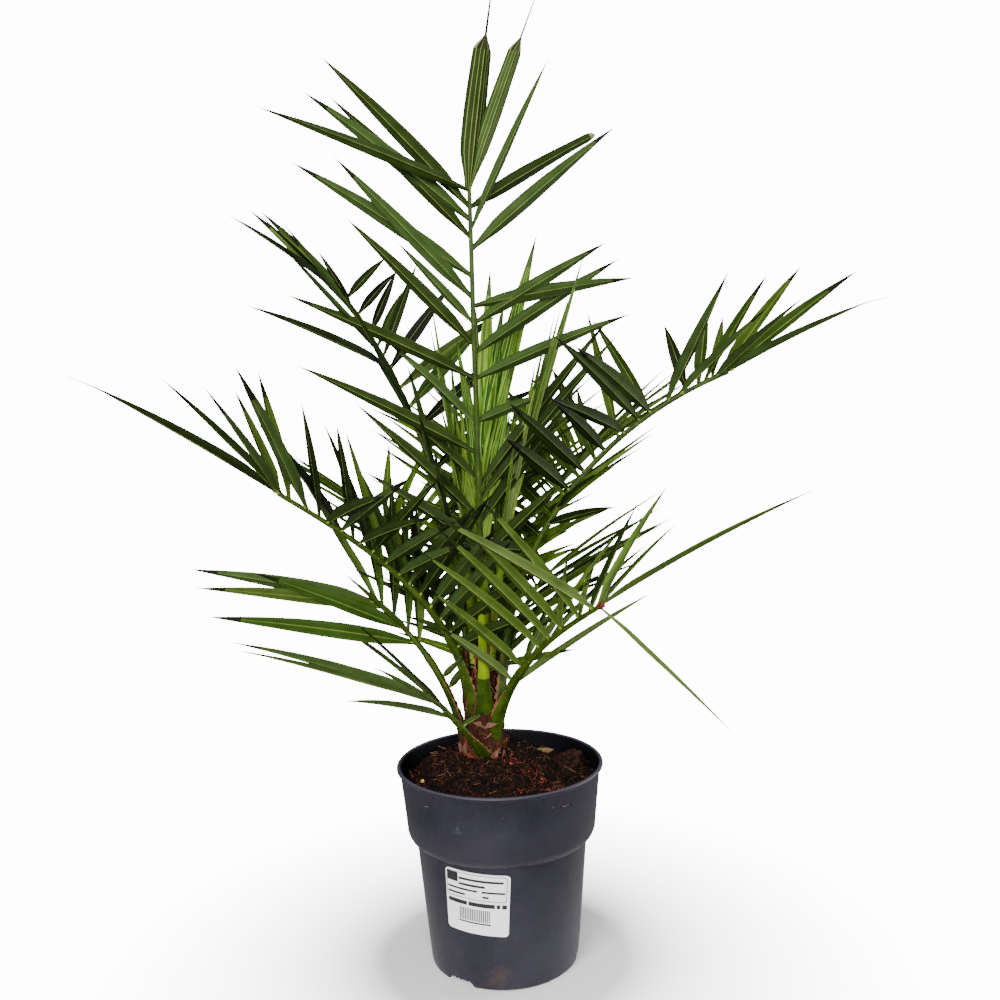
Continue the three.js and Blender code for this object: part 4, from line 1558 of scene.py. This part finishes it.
@dataclass
class Stem:
    """The short stem: a fibrous sheath round the leaf bases, with loose fibres and dry husks."""

    x: float = -13.0
    y: float = 42.0
    profile: tuple[Pair, ...] = (
        (150, 12), (158.3, 13), (164, 14), (178, 13.5), (200, 11.5), (225, 9), (250, 6.3),
        (262, 4), (266, 1.2))
    bulge: float = 4.5  # how much thicker it is toward the heading below, up to the height below
    bulge_turn: float = 238.0
    bulge_top: float = 196.0
    rows: int = 110
    columns: int = 120

    def sheath(self) -> Piece:
        """Make the sheath, ridged by the fibres that run up and across it.

        Returns:
            The sheath.
        """
        heights, radii = zip(*self.profile)
        z = np.linspace(heights[0], heights[-1], self.rows)
        turn = circle(self.columns)
        loops = np.zeros((self.rows, self.columns, 3))
        for row, height in enumerate(z):
            base = np.interp(height, heights, radii)
            fading = 1 - smooth(height, self.bulge_top - 11, self.bulge_top)
            swollen = float(smooth(height, 150, 158) * fading)
            for column, angle in enumerate(turn):
                place = Vector((math.cos(angle) * 6, math.sin(angle) * 6, height * 0.07))
                weave = math.sin(angle * 26 + height * 0.55) * math.sin(angle * 26 - height * 0.6)
                ridge = 1.5 * noise.noise(place * 0.5) + 1.0 * noise.noise(place * 1.7) + 0.35 * weave
                swell = self.bulge * max(0.0, math.cos(angle - math.radians(self.bulge_turn))) ** 0.6
                radius = base + swell * swollen + ridge * min(1.0, base / 10)
                x, y = self.x + radius * math.cos(angle), self.y + radius * math.sin(angle)
                loops[row, column] = (x, y, height)
        buffer = MeshBuffer()
        buffer.loft(loops)
        made = buffer.build("stem_sheath", [SHEATH.material()], crease=60.0)
        set_share(made, "share_all", np.ones(len(made.data.vertices)))
        return made

    def husks(self) -> Piece:
        """Stand the dry husks of old leaf bases round the foot, and fold one over the front.

        Returns:
            The husks, as one piece.
        """
        rows = (  # heading, distance, height, length, width, climb, turn aside, finish
            (-150, 13, 153, 19, 9, 62, 12, 0), (-116, 14, 153, 15, 6, 46, -30, 1),
            (-74, 15, 154, 17, 6, 60, 24, 0), (-30, 15, 154, 14, 7, 52, -22, 0),
            (20, 14, 154, 18, 9, 60, 15, 1), (80, 14, 154, 18, 10, 62, -25, 0),
            (130, 14, 154, 18, 10, 66, -20, 1), (172, 15, 156, 16, 8, 58, 30, 0),
            (-96, 16, 186, 14, 5, 10, 82, 0), (-84, 16, 187, 12, 5, 16, -78, 0),
            (-150, 11, 196, 13, 6, 40, 60, 1), (-85, 10, 234, 11, 5, 72, 18, 1),
            (-120, 9, 240, 11, 5, 70, 10, 1), (-62, 8, 250, 12, 4, 78, -10, 1),
            (-98, 6, 262, 13, 3, 80, 8, 1), (-76, 5, 272, 12, 3, 82, -8, 1),
            (-135, 6, 256, 12, 4, 74, 14, 1),
        )
        buffer = MeshBuffer()
        for k, (heading, away, height, length, width, climb, aside, finish) in enumerate(rows):
            turn, climb, aside = (math.radians(a) for a in (heading, climb, aside))
            out = np.array([math.cos(turn), math.sin(turn), 0])
            around = np.array([-math.sin(turn), math.cos(turn), 0])
            level = out * math.cos(climb) * math.cos(aside)
            way = unit(level + UP * math.sin(climb) + around * math.sin(aside))
            across = unit(np.cross(way, out + UP * 0.2))
            root = np.array([self.x, self.y, 0]) + out * away + UP * height
            blade = Blade(
                root, way, across, np.cross(across, way), length, width, bend=0.1 * jitter(k, 1),
                arch=0.05, twist=30 * jitter(k, 2), fold=(35, 22), thick=0.7)
            s = blade.stations()
            buffer.loft(blade.loops(s), finish)
        return buffer.build("stem_husks", [HUSK_TAN.material(), HUSK_RED.material()], crease=55.0)

    def build(self) -> list[Piece]:
        """Make the sheath, its fibres and the husks.

        Returns:
            The pieces.
        """
        sheath = self.sheath()
        made = [sheath]
        threads = zip(FIBRES, (50000, 45000, 22000), (19.0, 17.0, 15.0))
        for k, (finish, density, longest) in enumerate(threads):
            name, seed = f"stem_fibres_{k}", 30 + k
            grain = fibre(name + "_grain", seed, 0.018)
            strewn = Strewn(
                name, sheath, grain, finish, density, "share_all", 6.0, longest, seed, 0.3)
            made.append(strewn.build())
        made.append(self.husks())
        return [seat(piece, "stem") for piece in made]


# ---------------- fronds


@dataclass(frozen=True)
class RibSizes:
    """Half sizes of a rib where it clasps the stem, at the end of that foot, and at its tip."""

    foot: Pair = (12.0, 4.6)
    neck: Pair = (4.4, 3.8)
    tip: Pair = (1.7, 1.9)
    taper: float = 0.45
    along: float = 75.0
    sides: int = 14
    stations: int = 64
    buried: float = 14.0


RIB = RibSizes()

# How far along it each loop of a leaflet's knot and of a broken end's stub lies, and its radius.
KNOT = np.array([(0.0, 0.55), (1.25, 1.0), (2.5, 1.05), (3.75, 0.8), (5.0, 0.35)])
STUB = np.array([(-3.0, 1.2), (0.0, 2.2), (3.0, 2.6), (5.5, 2.0), (7.0, 0.6)])


class RibSlot(IntEnum):
    """The ribs' material slots."""

    RIB = 0
    KNOT = 1
    EDGE = 2
    STUB = 3
    PETIOLE = 4
    FIBRE = 5


@dataclass
class Frond:
    """One frond: a rib that bends from the stem, with two ranks of leaflets.

    The rib heads at heading degrees round from +X, from root high and out from the stem's axis. It
    climbs at rise degrees and bends over to fall degrees. splay and lift are the leaflets' angles
    low on the rib and at its tip. own are leaflets with a place of their own, each as share of the
    rib, splay (negative on the rib's other side), lift, length, width and sometimes its tip.
    """

    name: str
    heading: float
    out: float
    root: float
    climb: tuple[float, float, float]  # rise, fall and ease
    length: float
    ranks: tuple[float, int, float, float]  # bare share, pairs, longest leaflet, width
    splay: Pair
    lift: Pair
    ends: Pair  # the lowest and the last leaflet against the longest
    loose: float
    droop: float
    seed: float
    own: tuple[tuple[Any, ...], ...] = ()
    until: Pair = (1.0, 1.0)  # past this share, on each side, only own ones grow
    drift: float = 0.0
    roll: float = 0.0
    covered: float = 0.0  # how much of the foot the stem's fibres hide
    petiole: Pair = (0.0, 0.0)  # where along it the bare rib is a lighter green
    knots: float = 0.7  # how thick the swellings at the leaflets' roots are
    dark_from: float = 0.92  # the share of a leaflet where its dark tip starts
    tones: tuple[float, ...] = (0.25, 0.4, 0.25, 0.1)  # its leaflets' shares in each upper skin; the shade green's share is painted shade
    stub: bool = False  # a dry brown end
    skins: Foliage = GROWN_LEAVES
    stem: Pair = (-13.0, 42.0)
    line: tuple[Array, ...] = ()  # its points and its forward, side and up directions

    def __post_init__(self) -> None:
        """Work out the rib's line at even shares of its length."""
        steps, (rise, fall, ease) = 40, self.climb
        start = math.radians(self.heading)
        point = np.array([*self.stem, self.root])
        point = point + np.array([math.cos(start), math.sin(start), 0]) * self.out
        rows = []
        for share in (i / steps for i in range(steps + 1)):
            climb = math.radians(fall + (rise - fall) * (1 - share) ** ease)
            turn = math.radians(self.heading + self.drift * share)
            level = math.cos(climb)
            forward = np.array([level * math.cos(turn), level * math.sin(turn), math.sin(climb)])
            if rows:
                point = point + unit(forward + rows[-1][1]) * self.length / steps
            side = Vector((math.sin(turn), -math.cos(turn), 0))
            side = np.array(Matrix.Rotation(-math.radians(self.roll), 3, Vector(forward)) @ side)
            rows.append((point, forward, side, np.cross(side, forward)))
        self.line = tuple(np.array(values) for values in zip(*rows))

    def place(self, share: float) -> tuple[Array, ...]:
        """Give the rib's point and its forward, side and up directions at a share of its length.

        Args:
            share: The share.

        Returns:
            The point and the directions, in that order.
        """
        last = len(self.line[0]) - 1
        spot = min(max(share, 0.0), 1.0) * last
        low = min(int(spot), last - 1)
        return tuple(mix(values[low], values[low + 1], spot - low) for values in self.line)

    def half_sizes(self, reach: float) -> list[float]:
        """Give the rib's half width and half depth at a distance along it.

        Args:
            reach: Millimetres from the rib's foot.

        Returns:
            The half width and the half depth.
        """
        reach = max(reach, 0)
        small = min(1.0, self.length / 240 + 0.3)
        past = max(0.0, reach - RIB.along) / max(1.0, self.length - RIB.along)
        clasp = max(0.0, 1 - reach / RIB.along) ** 1.6
        return [(mix(neck, tip, past**RIB.taper) + (foot - neck) * clasp) * small
                for foot, neck, tip in zip(RIB.foot, RIB.neck, RIB.tip)]

    def rib_slot(self, reach: float) -> RibSlot:
        """Give the rib's material slot at a distance along it.

        Args:
            reach: Millimetres from the rib's foot.

        Returns:
            The slot.
        """
        if reach < self.covered + 2 * math.sin(reach):
            return RibSlot.FIBRE
        bare = self.petiole[0] < reach < self.petiole[1]
        return RibSlot.PETIOLE if bare else RibSlot.RIB

    def rib(self) -> Piece:
        """Make the rib, from the foot that clasps the stem, with fibrous margins, to its tip.

        Returns:
            The rib.
        """
        buried = [-RIB.buried, -RIB.buried * 0.6, -RIB.buried * 0.25]
        reaches = [*buried, *(np.linspace(0, 1, RIB.stations) ** 1.3 * self.length)]
        turn = circle(RIB.sides)
        inner = np.maximum(0, np.sin(turn))
        loops, skins = [], []
        start = math.radians(self.heading)
        inwards = -np.array([math.cos(start), math.sin(start), 0])
        for reach in reaches:
            point, forward, side, up = self.place(reach / self.length)
            if reach < 0:
                point = point + forward * reach
                point = point + inwards * (reach / RIB.buried) ** 2 * min(5.0, self.out)
            width, depth = self.half_sizes(reach)
            clasp = float(np.clip(1 - reach / RIB.along, 0, 1))
            crown = depth * np.sin(turn) * (1 - 0.45 * inner * clasp)
            crown = crown + depth * 0.5 * clasp * np.abs(np.cos(turn)) ** 2
            ripple = 1 + 0.03 * np.sin(turn * 5 + reach * 0.05)
            across, above = width * np.cos(turn) * ripple, crown * ripple
            loops.append(point - side * across[:, None] + up * above[:, None])
            skins.append(np.full(RIB.sides, self.rib_slot(reach)))
        buffer = MeshBuffer()
        buffer.loft(np.array(loops), np.array(skins[:-1]))
        for way in (-1, 1):
            self.margin(buffer, way)
        if self.stub:
            self.broken_end(buffer)
        finishes = [self.skins.rib, self.skins.knot, self.skins.edge, HUSK_RED, PETIOLE, SHEATH]
        for leaf in self.plan():
            self.knot(buffer, leaf)
        return buffer.build(self.name + "_rib", [f.material() for f in finishes], crease=50.0)

    def margin(self, buffer: MeshBuffer, way: int) -> None:
        """Add the torn brown margin along one side of the foot.

        Args:
            buffer: The rib's mesh.
            way: The side, 1 or -1.
        """
        rows = []
        far = min(0.8 * RIB.along, 0.55 * self.length)
        for reach in np.linspace(-8, far, 34):
            point, forward, side, up = self.place(reach / self.length)
            point = point + forward * min(reach, 0.0)
            width, depth = self.half_sizes(reach)
            left = 1 - np.clip(reach, 0, far) / far
            ragged = 0.75 + 0.3 * math.sin(reach * 0.9 + self.seed) + 0.2 * math.sin(reach * 2.3)
            torn = (0.4 + 3.4 * left) * ragged
            root = point + side * way * width * 0.93 + up * depth * 0.5 * left
            outer = root + side * way * torn * 0.7 + up * torn * 0.7
            skin = up * 0.35
            corners = [root + skin, outer + skin * 0.5, outer - skin * 0.5, root - skin]
            rows.append(corners if way > 0 else corners[::-1])
        buffer.loft(np.array(rows), RibSlot.EDGE)

    def knot(self, buffer: MeshBuffer, leaf: "Leaf") -> None:
        """Add the pale swelling where a leaflet joins the rib.

        Args:
            buffer: The rib's mesh.
            leaf: The leaflet.
        """
        root, way, across, face = self.aim(leaf)
        half, _ = self.half_sizes(leaf.share * self.length)
        reach, radius = KNOT.T
        fat = radius * min(1.9, 0.55 + leaf.width * 0.09) * self.knots
        turn = circle(8)
        middle = root + way * (half * 0.45 + reach)[:, None]
        ring = -across[None] * np.cos(turn)[:, None] + face[None] * np.sin(turn)[:, None] * 0.85
        buffer.loft(middle[:, None] + ring[None] * fat[:, None, None], RibSlot.KNOT)

    def broken_end(self, buffer: MeshBuffer) -> None:
        """Add the dry brown stub past the last leaflets.

        Args:
            buffer: The rib's mesh.
        """
        point, forward, side, up = self.place(1.0)
        reach, fat = STUB.T
        turn = circle(10)
        rough = 1 + 0.25 * np.sin(turn[None] * 3 + reach[:, None])
        ring = -side[None] * np.cos(turn)[:, None] + up[None] * np.sin(turn)[:, None]
        middle = point + forward * reach[:, None]
        buffer.loft(middle[:, None] + ring[None] * (fat[:, None] * rough)[..., None], RibSlot.STUB)

    def plan(self) -> list["Leaf"]:
        """List the leaflets as the rule gives them.

        Returns:
            The leaflets, from the rib's foot to its tip.
        """
        bare, pairs, blade, width = self.ranks
        low, last = self.ends
        spacing = (1 - bare) / pairs
        own = [Leaf(share, int(math.copysign(1, splay)), abs(splay), *rest)
               for share, splay, *rest in self.own]
        made = list(own)
        for side in (-1, 1):
            for i in range(pairs):
                k = 2 * i + (side > 0)
                u = min(1.0, (i + (0.9 if side > 0 else 0.6)) / pairs)
                share = bare + (1 - bare) * u * 0.995
                near = [o for o in own if o.side == side and abs(o.share - share) < spacing / 2]
                if any(o.length > 60 for o in near) or share > self.until[side > 0]:
                    continue
                rise = low + (1 - low) * math.sin(math.pi / 2 * min(1.0, (u * 0.9 + 0.08) / 0.62))
                shape = rise if u < 0.6 else 1 - (1 - last) * ((u - 0.6) / 0.4) ** 1.5
                splay = mix(self.splay[1], self.splay[0], (1 - u) ** 0.35)
                lift = mix(self.lift[0], self.lift[1], u)
                made.append(Leaf(
                    share, side, splay + self.loose * jitter(self.seed, k),
                    lift + self.loose * jitter(self.seed + 3.3, k),
                    blade * shape * (1 + 0.08 * jitter(self.seed + 7.7, k)), width, wild=True))
        return sorted(made, key=lambda leaf: leaf.share)

    def aim(self, leaf: "Leaf") -> tuple[Array, ...]:
        """Give a leaflet's root and its way, across and face directions.

        Args:
            leaf: The leaflet.

        Returns:
            The root and the directions, in that order.
        """
        point, forward, side, up = self.place(leaf.share)
        splay, lift = math.radians(leaf.splay), math.radians(leaf.lift)
        outward = side * math.cos(lift) * leaf.side + up * math.sin(lift)
        way = unit(forward * math.cos(splay) + outward * math.sin(splay))
        across = unit(outward * math.cos(splay) - forward * math.sin(splay)) * leaf.side
        return point, way, across, np.cross(across, way)

    def leaflets(self) -> Piece:
        """Make all the leaflets as one mesh.

        Returns:
            The leaflets.
        """
        draw = np.random.default_rng(int(self.seed * 10))
        buffer = MeshBuffer()
        for leaf in self.plan():
            root, way, across, face = self.aim(leaf)
            sway = 1.0 if leaf.wild else 0.35
            sag = self.droop * leaf.length * math.sqrt(max(0.05, 1 - way[2] ** 2))
            blade = Blade(
                root, way, across, face, leaf.length, leaf.width, leaf.tip, sag,
                bend=draw.uniform(-0.035, 0.035) * sway, arch=draw.uniform(-0.012, 0.02) * sway,
                twist=draw.uniform(-24, 24) * sway, fold=(46, draw.uniform(18, 30)),
                pleated=leaf.tip is Tip.SHOULDER or self.skins is YOUNG_LEAVES)
            upper = int(draw.choice(len(self.skins.uppers), p=self.tones))
            back = LeafSlot.BACK + int(draw.integers(len(self.skins.backs)))
            blade.grow(buffer, upper, back, self.dark_from + draw.uniform(-0.03, 0.03))
        skins = [skin.material() for skin in self.skins.slots()]
        return buffer.build(self.name + "_leaflets", skins, crease=42.0)

    def build(self) -> list[Piece]:
        """Make the frond's rib and leaflets."""
        return [seat(piece, self.name) for piece in (self.rib(), self.leaflets())]


@dataclass(frozen=True)
class Leaf:
    """Where a leaflet stands on its rib, how it points, and its size."""

    share: float
    side: int
    splay: float
    lift: float
    length: float
    width: float
    tip: Tip = Tip.SHARP
    wild: bool = False


def fronds() -> list[Frond]:
    """List the palm's fronds, from the tall one in front round to the young ones in the middle.

    Returns:
        The fronds, in the order they are built.
    """
    back = dict(splay=(82, 16), lift=(36, 28), ends=(0.6, 0.9), loose=7, droop=0.05)
    young = dict(loose=4, droop=0.0, ends=(0.8, 0.9), until=(0.88, 0.88), knots=0.5, skins=YOUNG_LEAVES)
    # Each has name, heading, out, root, climb, length, ranks, splay, lift, ends, loose, droop, seed.
    # The first seven fronds' headings, outs, roots, climbs, lengths and drifts, and most own rows,
    # weren't chosen by hand: a separate fitting program worked them out.
    return [
        Frond(
            "frond_front_tall", 273.7, 11, 172, (79.2, 87.7, 1.2), 453.7, (0.32, 11, 178, 13),
            (55, 20), (32, 26), (0.5, 0.95), 7, 0.04, 1, drift=-3.2, until=(0.44, 0.41),
            covered=24.0, petiole=(55.0, 150.0), knots=0.2, dark_from=0.93,
            tones=(0.15, 0.35, 0.4, 0.1), skins=SHADED_LEAVES,
            own=(
                (1, -9, 30, 160, 21, Tip.SHOULDER), (1, -22, 25, 172, 15, Tip.SHOULDER),
                (0.93, -28, 30, 160, 8), (0.97, -61, 40, 160, 13, Tip.BLUNT), (0.9, -52, 30, 180, 14),
                (0.806, -79, 25, 154, 13), (0.775, -61, 25, 142, 12), (0.725, -61, 30, 166, 13),
                (0.681, -69, 20, 150, 12), (0.606, -73, 30, 70, 10), (0.487, -43, 25, 186, 12),
                (0.463, -45, 25, 190, 13), (1, 65, 0, 175, 11), (0.97, 44, 30, 195, 14),
                (0.95, 50, 22, 185, 14), (0.92, 44, 25, 175, 13), (0.856, 55, 20, 186, 14),
                (0.819, 43, 10, 158, 13), (0.775, 45, 30, 98, 9), (0.738, 47, 30, 162, 13),
                (0.681, 67, 30, 202, 13), (0.6, 53, 40, 118, 11), (0.55, 65, 25, 182, 12),
                (0.5, 59, 45, 134, 12), (0.431, 51, 30, 150, 12),
            )),
        Frond(
            "frond_upper_left", 160, 14, 206, (93.3, 49, 0.95), 378.6, (0.38, 12, 150, 13),
            (78, 16), (34, 20), (0.6, 0.8), 7, 0.05, 2, drift=-14, until=(0.94, 0.8),
            covered=40.0, dark_from=0.9, tones=(0.35, 0.35, 0.15, 0.15), skins=OUTER_SHADED_LEAVES,
            own=(
                (1, -81, 20, 162, 12), (0.995, -11, -25, 134, 11), (0.99, 7, -80, 146, 12),
                (0.97, -49, 25, 94, 12), (0.97, 5, 40, 70, 7), (0.787, -71, 5, 162, 13),
                (0.995, 57, 10, 106, 9), (0.944, 57, 10, 102, 9), (0.887, 49, 10, 114, 9),
                (0.85, 51, 0, 126, 9), (0.82, 45, 20, 134, 9),
            )),
        Frond(
            "frond_left", 205, 11, 193, (88, 34, 2), 265, (0.2, 15, 148, 14),
            (76, 16), (36, 28), (0.6, 0.9), 6, 0.04, 3, drift=-3, until=(0.52, 0.83),
            dark_from=0.9, tones=(0.2, 0.3, 0.3, 0.2), skins=SHADED_LEAVES,
            own=(
                (1, 1, 34, 178, 15, Tip.THREAD), (0.99, -31, 22, 146, 13), (0.995, -41, 26, 130, 11),
                (0.995, 61, 34, 130, 12), (0.963, 65, 42, 146, 13), (0.9, -39, 42, 146, 13),
                (0.856, 73, 38, 150, 10), (0.825, -85, 14, 142, 14), (0.775, -83, 22, 146, 12),
                (0.706, -87, 18, 134, 12), (0.656, -79, 38, 114, 12), (0.6, -81, 22, 134, 12),
                (0.544, -81, 18, 134, 12), (0.731, 73, 38, 150, 11), (0.613, 57, 42, 142, 11),
            )),
        Frond(
            "frond_low_left", 180, 19, 175, (79.7, 44.8, 1.33), 139.4, (0.25, 9, 150, 13),
            (82, 14), (42, 20), (0.5, 1), 6, 0.04, 4, drift=13.8, until=(0.0, 0.3),
            dark_from=0.94, tones=(0.25, 0.5, 0.15, 0.1), skins=OUTER_SHADED_LEAVES,
            own=(
                (1, 29, -80, 158, 14), (0.956, -33, -65, 158, 13), (0.756, -25, -55, 142, 14),
                (0.644, -39, -70, 178, 15), (0.7, -7, -30, 82, 9), (1, 27, 40, 150, 12),
                (0.963, 51, 45, 138, 12), (0.863, 53, 55, 138, 12), (0.738, 53, 45, 146, 12),
                (0.631, 45, 55, 134, 12), (0.375, -69, 55, 34, 6), (0.294, -61, 60, 42, 7),
            )),
        Frond(
            "frond_foot_left", 262.3, 12, 156.7, (43.5, 53, 0.96), 82.3, (0.8, 1, 160, 12),
            (40, 15), (0, 0), (0.8, 0.9), 8, 0.05, 5, drift=-70, skins=OUTER_SHADED_LEAVES, until=(0, 0),
            own=(
                (0.98, 49, -40, 210, 14), (0.95, 45, -45, 190, 9), (0.956, 53, -10, 150, 11),
                (0.906, -23, -5, 130, 11), (0.85, -35, -15, 126, 8), (0.756, 87, -10, 174, 11, Tip.DRY),
                (0.613, -85, 50, 26, 6),
            )),
        Frond(
            "frond_low_right", 318, 11, 171, (77.8, 29.3, 1.78), 185.8, (0.28, 11, 160, 13),
            (84, 30), (32, 24), (0.6, 1), 6, 0.05, 6, drift=-8.4, until=(0.72, 0.3),
            tones=(0.1, 0.35, 0.45, 0.1), stub=True,
            own=(
                (0.325, 61, 30, 98, 10), (0.42, 61, 30, 130, 11), (0.575, 67, 34, 150, 12),
                (0.65, 63, 34, 162, 12), (0.744, 63, 34, 162, 12), (0.863, 63, 38, 154, 12),
                (0.963, 81, 34, 162, 14), (1, -11, 14, 194, 13), (1, -85, 38, 154, 14),
                (0.944, -97, 38, 158, 12), (0.995, -95, 26, 158, 9), (0.3, -59, 2, 162, 13),
                (0.738, -109, 42, 146, 10), (0.87, -113, 34, 162, 10), (1, -97, -46, 158, 6),
            )),
        Frond(
            "frond_right", 348, 16, 203, (89.6, 20.6, 1.01), 358, (0.33, 12, 140, 13),
            (96, 16), (34, 34), (0.7, 0.95), 6, 0.04, 7, drift=0.6, roll=-6, until=(0.7, 0.65),
            dark_from=0.9, tones=(0.3, 0.25, 0.2, 0.25), skins=SHADED_LEAVES,
            own=(
                (0.85, 47, 42, 134, 13), (0.9, -85, 26, 130, 11), (0.88, 29, 38, 102, 12),
                (0.93, -69, 34, 102, 12), (0.945, -47, 38, 126, 11), (0.963, -71, 26, 98, 9),
                (0.97, 53, 22, 126, 11), (0.985, -41, 42, 126, 13), (0.995, -25, 38, 142, 14),
                (1, 21, 22, 134, 15, Tip.THREAD), (0.806, 93, 35, 146, 14), (0.775, 89, 35, 170, 12),
                (0.806, -89, 40, 150, 10), (0.731, 95, 30, 138, 13), (0.713, -73, 40, 166, 10),
                (0.67, 83, 25, 146, 12), (0.5, 65, 0, 140, 10), (0.45, 59, -20, 110, 10),
            )),
        Frond("frond_back_right", 56, 13, 200, (80, 24, 1.2), 295, (0.35, 20, 145, 9), seed=11, **back),
        Frond("frond_back", 85, 14, 188, (80, 22, 1.3), 320, (0.33, 20, 145, 9), seed=12, **back),
        Frond("frond_back_left", 122, 15, 178, (78, 24, 1.5), 250, (0.3, 17, 140, 9), seed=13, **back),
        Frond(
            "frond_low_back_right", 62, 17, 172, (78, 20, 1.2), 175, (0.28, 13, 140, 9),
            (82, 14), (36, 20), (0.6, 1), 7, 0.05, 14),
        Frond(
            "young_frond_middle", 60, 3, 240, (88, 85, 1), 175, (0.35, 5, 135, 11), (14, 4), (10, 5),
            seed=8, **young,
            own=(
                (1, 2, 0, 160, 17), (1, 15, 0, 190, 18), (0.93, 8, 5, 146, 17), (0.97, -5, -8, 135, 12),
                (0.9, 16, 0, 150, 13),
            )),
        Frond(
            "young_frond_right", 5, 7, 232, (86, 72, 1), 170, (0.4, 5, 135, 12), (24, 10), (14, 8),
            seed=9, **young,
            own=(
                (1, 13, 10, 188, 20), (1, 30, 10, 160, 18), (0.95, 18, 15, 150, 18),
                (0.97, -20, 5, 155, 14), (0.9, -16, 10, 145, 13),
            )),
        Frond(
            "young_frond_left", 165, 6, 235, (88, 84, 1), 160, (0.4, 5, 105, 11), (22, 10), (14, 8),
            seed=10, **young,
            own=(
                (1, -16, 10, 130, 12), (0.97, 14, 0, 118, 12), (1, -4, 10, 150, 11),
            )),
    ]


# ---------------- studio


@dataclass
class Studio:
    """A plain pale floor before a white sweep, soft lights and the camera, in metres and degrees."""

    eye: tuple[float, float, float] = (0.0065, -0.8305, 0.4552)
    down: float = 5.12
    roll: float = -1.68
    lens: float = 37.13
    sensor: float = 36.0
    clip: Pair = (0.01, 100.0)
    floor_radius: float = 1.6
    floor_gap: float = 0.4  # how far it lies below the pot, in millimetres
    floor_solid: float = 0.10  # the floor is whole this far out, and then thins away
    floor_clear: float = 0.34
    middle: float = 0.38  # the height that the lights look at
    lamps: tuple[tuple[Any, ...], ...] = (  # name, place, size, power
        ("key", (-0.8, -1.6, 1.2), 0.9, 55),
        ("front", (0.15, -2.0, 0.75), 1.1, 52),
        ("top", (0.2, 0.1, 2.2), 1.0, 16),
        ("rim_right", (1.7, 0.5, 0.5), 1.1, 33),
        ("rim_left", (-1.8, 0.5, 0.4), 1.1, 3),
    )
    sweep: float = 14.0  # how bright the sweep looks
    behind: float = 0.25  # how much light it gives from behind, and from in front
    before: float = 0.10

    def camera(self) -> None:
        """Set the camera."""
        data = bpy.data.cameras.new("camera")
        data.lens, data.sensor_width = self.lens, self.sensor
        data.clip_start, data.clip_end = self.clip
        camera = bpy.data.objects.new("camera", data)
        tilt = Euler((math.radians(90 - self.down), 0, 0)).to_matrix().to_4x4()
        turn = Matrix.Rotation(math.radians(self.roll), 4, "Z")
        camera.matrix_world = Matrix.Translation(self.eye) @ tilt @ turn
        bpy.context.scene.collection.objects.link(camera)
        bpy.context.scene.camera = camera

    def light(self, name: str, place: Sequence[float], size: float, power: float) -> None:
        """Set a square area light that looks at the plant's middle.

        Args:
            name: The light's name.
            place: Where it stands.
            size: Its side.
            power: Its watts.
        """
        data = bpy.data.lights.new(name, "AREA")
        data.size, data.energy = size, power
        lamp = bpy.data.objects.new(name, data)
        lamp.location = place
        away = Vector(place) - Vector((0, 0, self.middle))
        lamp.rotation_euler = away.to_track_quat("Z", "Y").to_euler()
        bpy.context.scene.collection.objects.link(lamp)

    def floor(self) -> Piece:
        """Make the floor, which thins away into the sweep.

        Returns:
            The floor.
        """
        buffer = MeshBuffer()
        rings = np.linspace(0.01, self.floor_radius, 12)[::-1, None] * 1000
        buffer.sheet(around(rings, circle(96), -self.floor_gap))
        shader = Shader("pale_floor")
        shader.set(Base_Color=(0.88, 0.88, 0.88), Roughness=0.9)
        away = shader.node("ShaderNodeVectorMath", {"operation": "LENGTH"}, {0: shader.where()})
        share = Field(shader, away.outputs["Value"]).clamp(self.floor_solid, self.floor_clear)
        clear = shader.node("ShaderNodeBsdfTransparent", {}, {})
        both = shader.node("ShaderNodeMixShader", {}, {
            0: share, 1: shader.surface.outputs[0], 2: clear.outputs[0]})
        surface = shader.tree.nodes["Material Output"].inputs["Surface"]
        shader.tree.links.new(both.outputs[0], surface)
        return buffer.build("floor", [shader.material])

    def sky(self) -> None:
        """Set the white sweep: bright to look at, and a soft light from behind, the sides and above."""
        world = bpy.data.worlds.new("white_sweep")
        world.use_nodes = True
        tree = world.node_tree
        node, white = partial(add_node, tree), (1, 1, 1, 1)
        seen = node("ShaderNodeBackground", {}, {"Color": white, "Strength": self.sweep})
        toward = node("ShaderNodeTexCoord", {}, {})
        parts = node("ShaderNodeSeparateXYZ", {}, {0: toward.outputs["Generated"]})
        depth = node("ShaderNodeMapRange", {}, {
            "Value": parts.outputs["Y"], "From Min": -0.8, "From Max": 0.5,
            "To Min": self.before, "To Max": self.behind})
        glow = tree.nodes["Background"]
        glow.inputs["Color"].default_value = white
        tree.links.new(depth.outputs["Result"], glow.inputs["Strength"])
        path = node("ShaderNodeLightPath", {}, {})
        both = node("ShaderNodeMixShader", {}, {
            0: path.outputs["Is Camera Ray"], 1: glow.outputs[0], 2: seen.outputs[0]})
        tree.links.new(both.outputs[0], tree.nodes["World Output"].inputs["Surface"])
        bpy.context.scene.world = world

    def build(self) -> None:
        """Make the floor, the sweep, the lights and the camera."""
        self.floor()
        self.sky()
        for lamp in self.lamps:
            self.light(*lamp)
        self.camera()


def main() -> None:
    """Build the studio, then the pot, label, soil, stem and fronds."""
    logging.basicConfig(level=logging.INFO, format="%(name)s: %(message)s")
    Studio().build()
    pot = Pot()
    pot.build()
    Label(pot).build()
    Soil(pot).build()
    Stem().build()
    for frond in fronds():
        frond.build()
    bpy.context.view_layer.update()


if __name__ == "__main__":
    main()
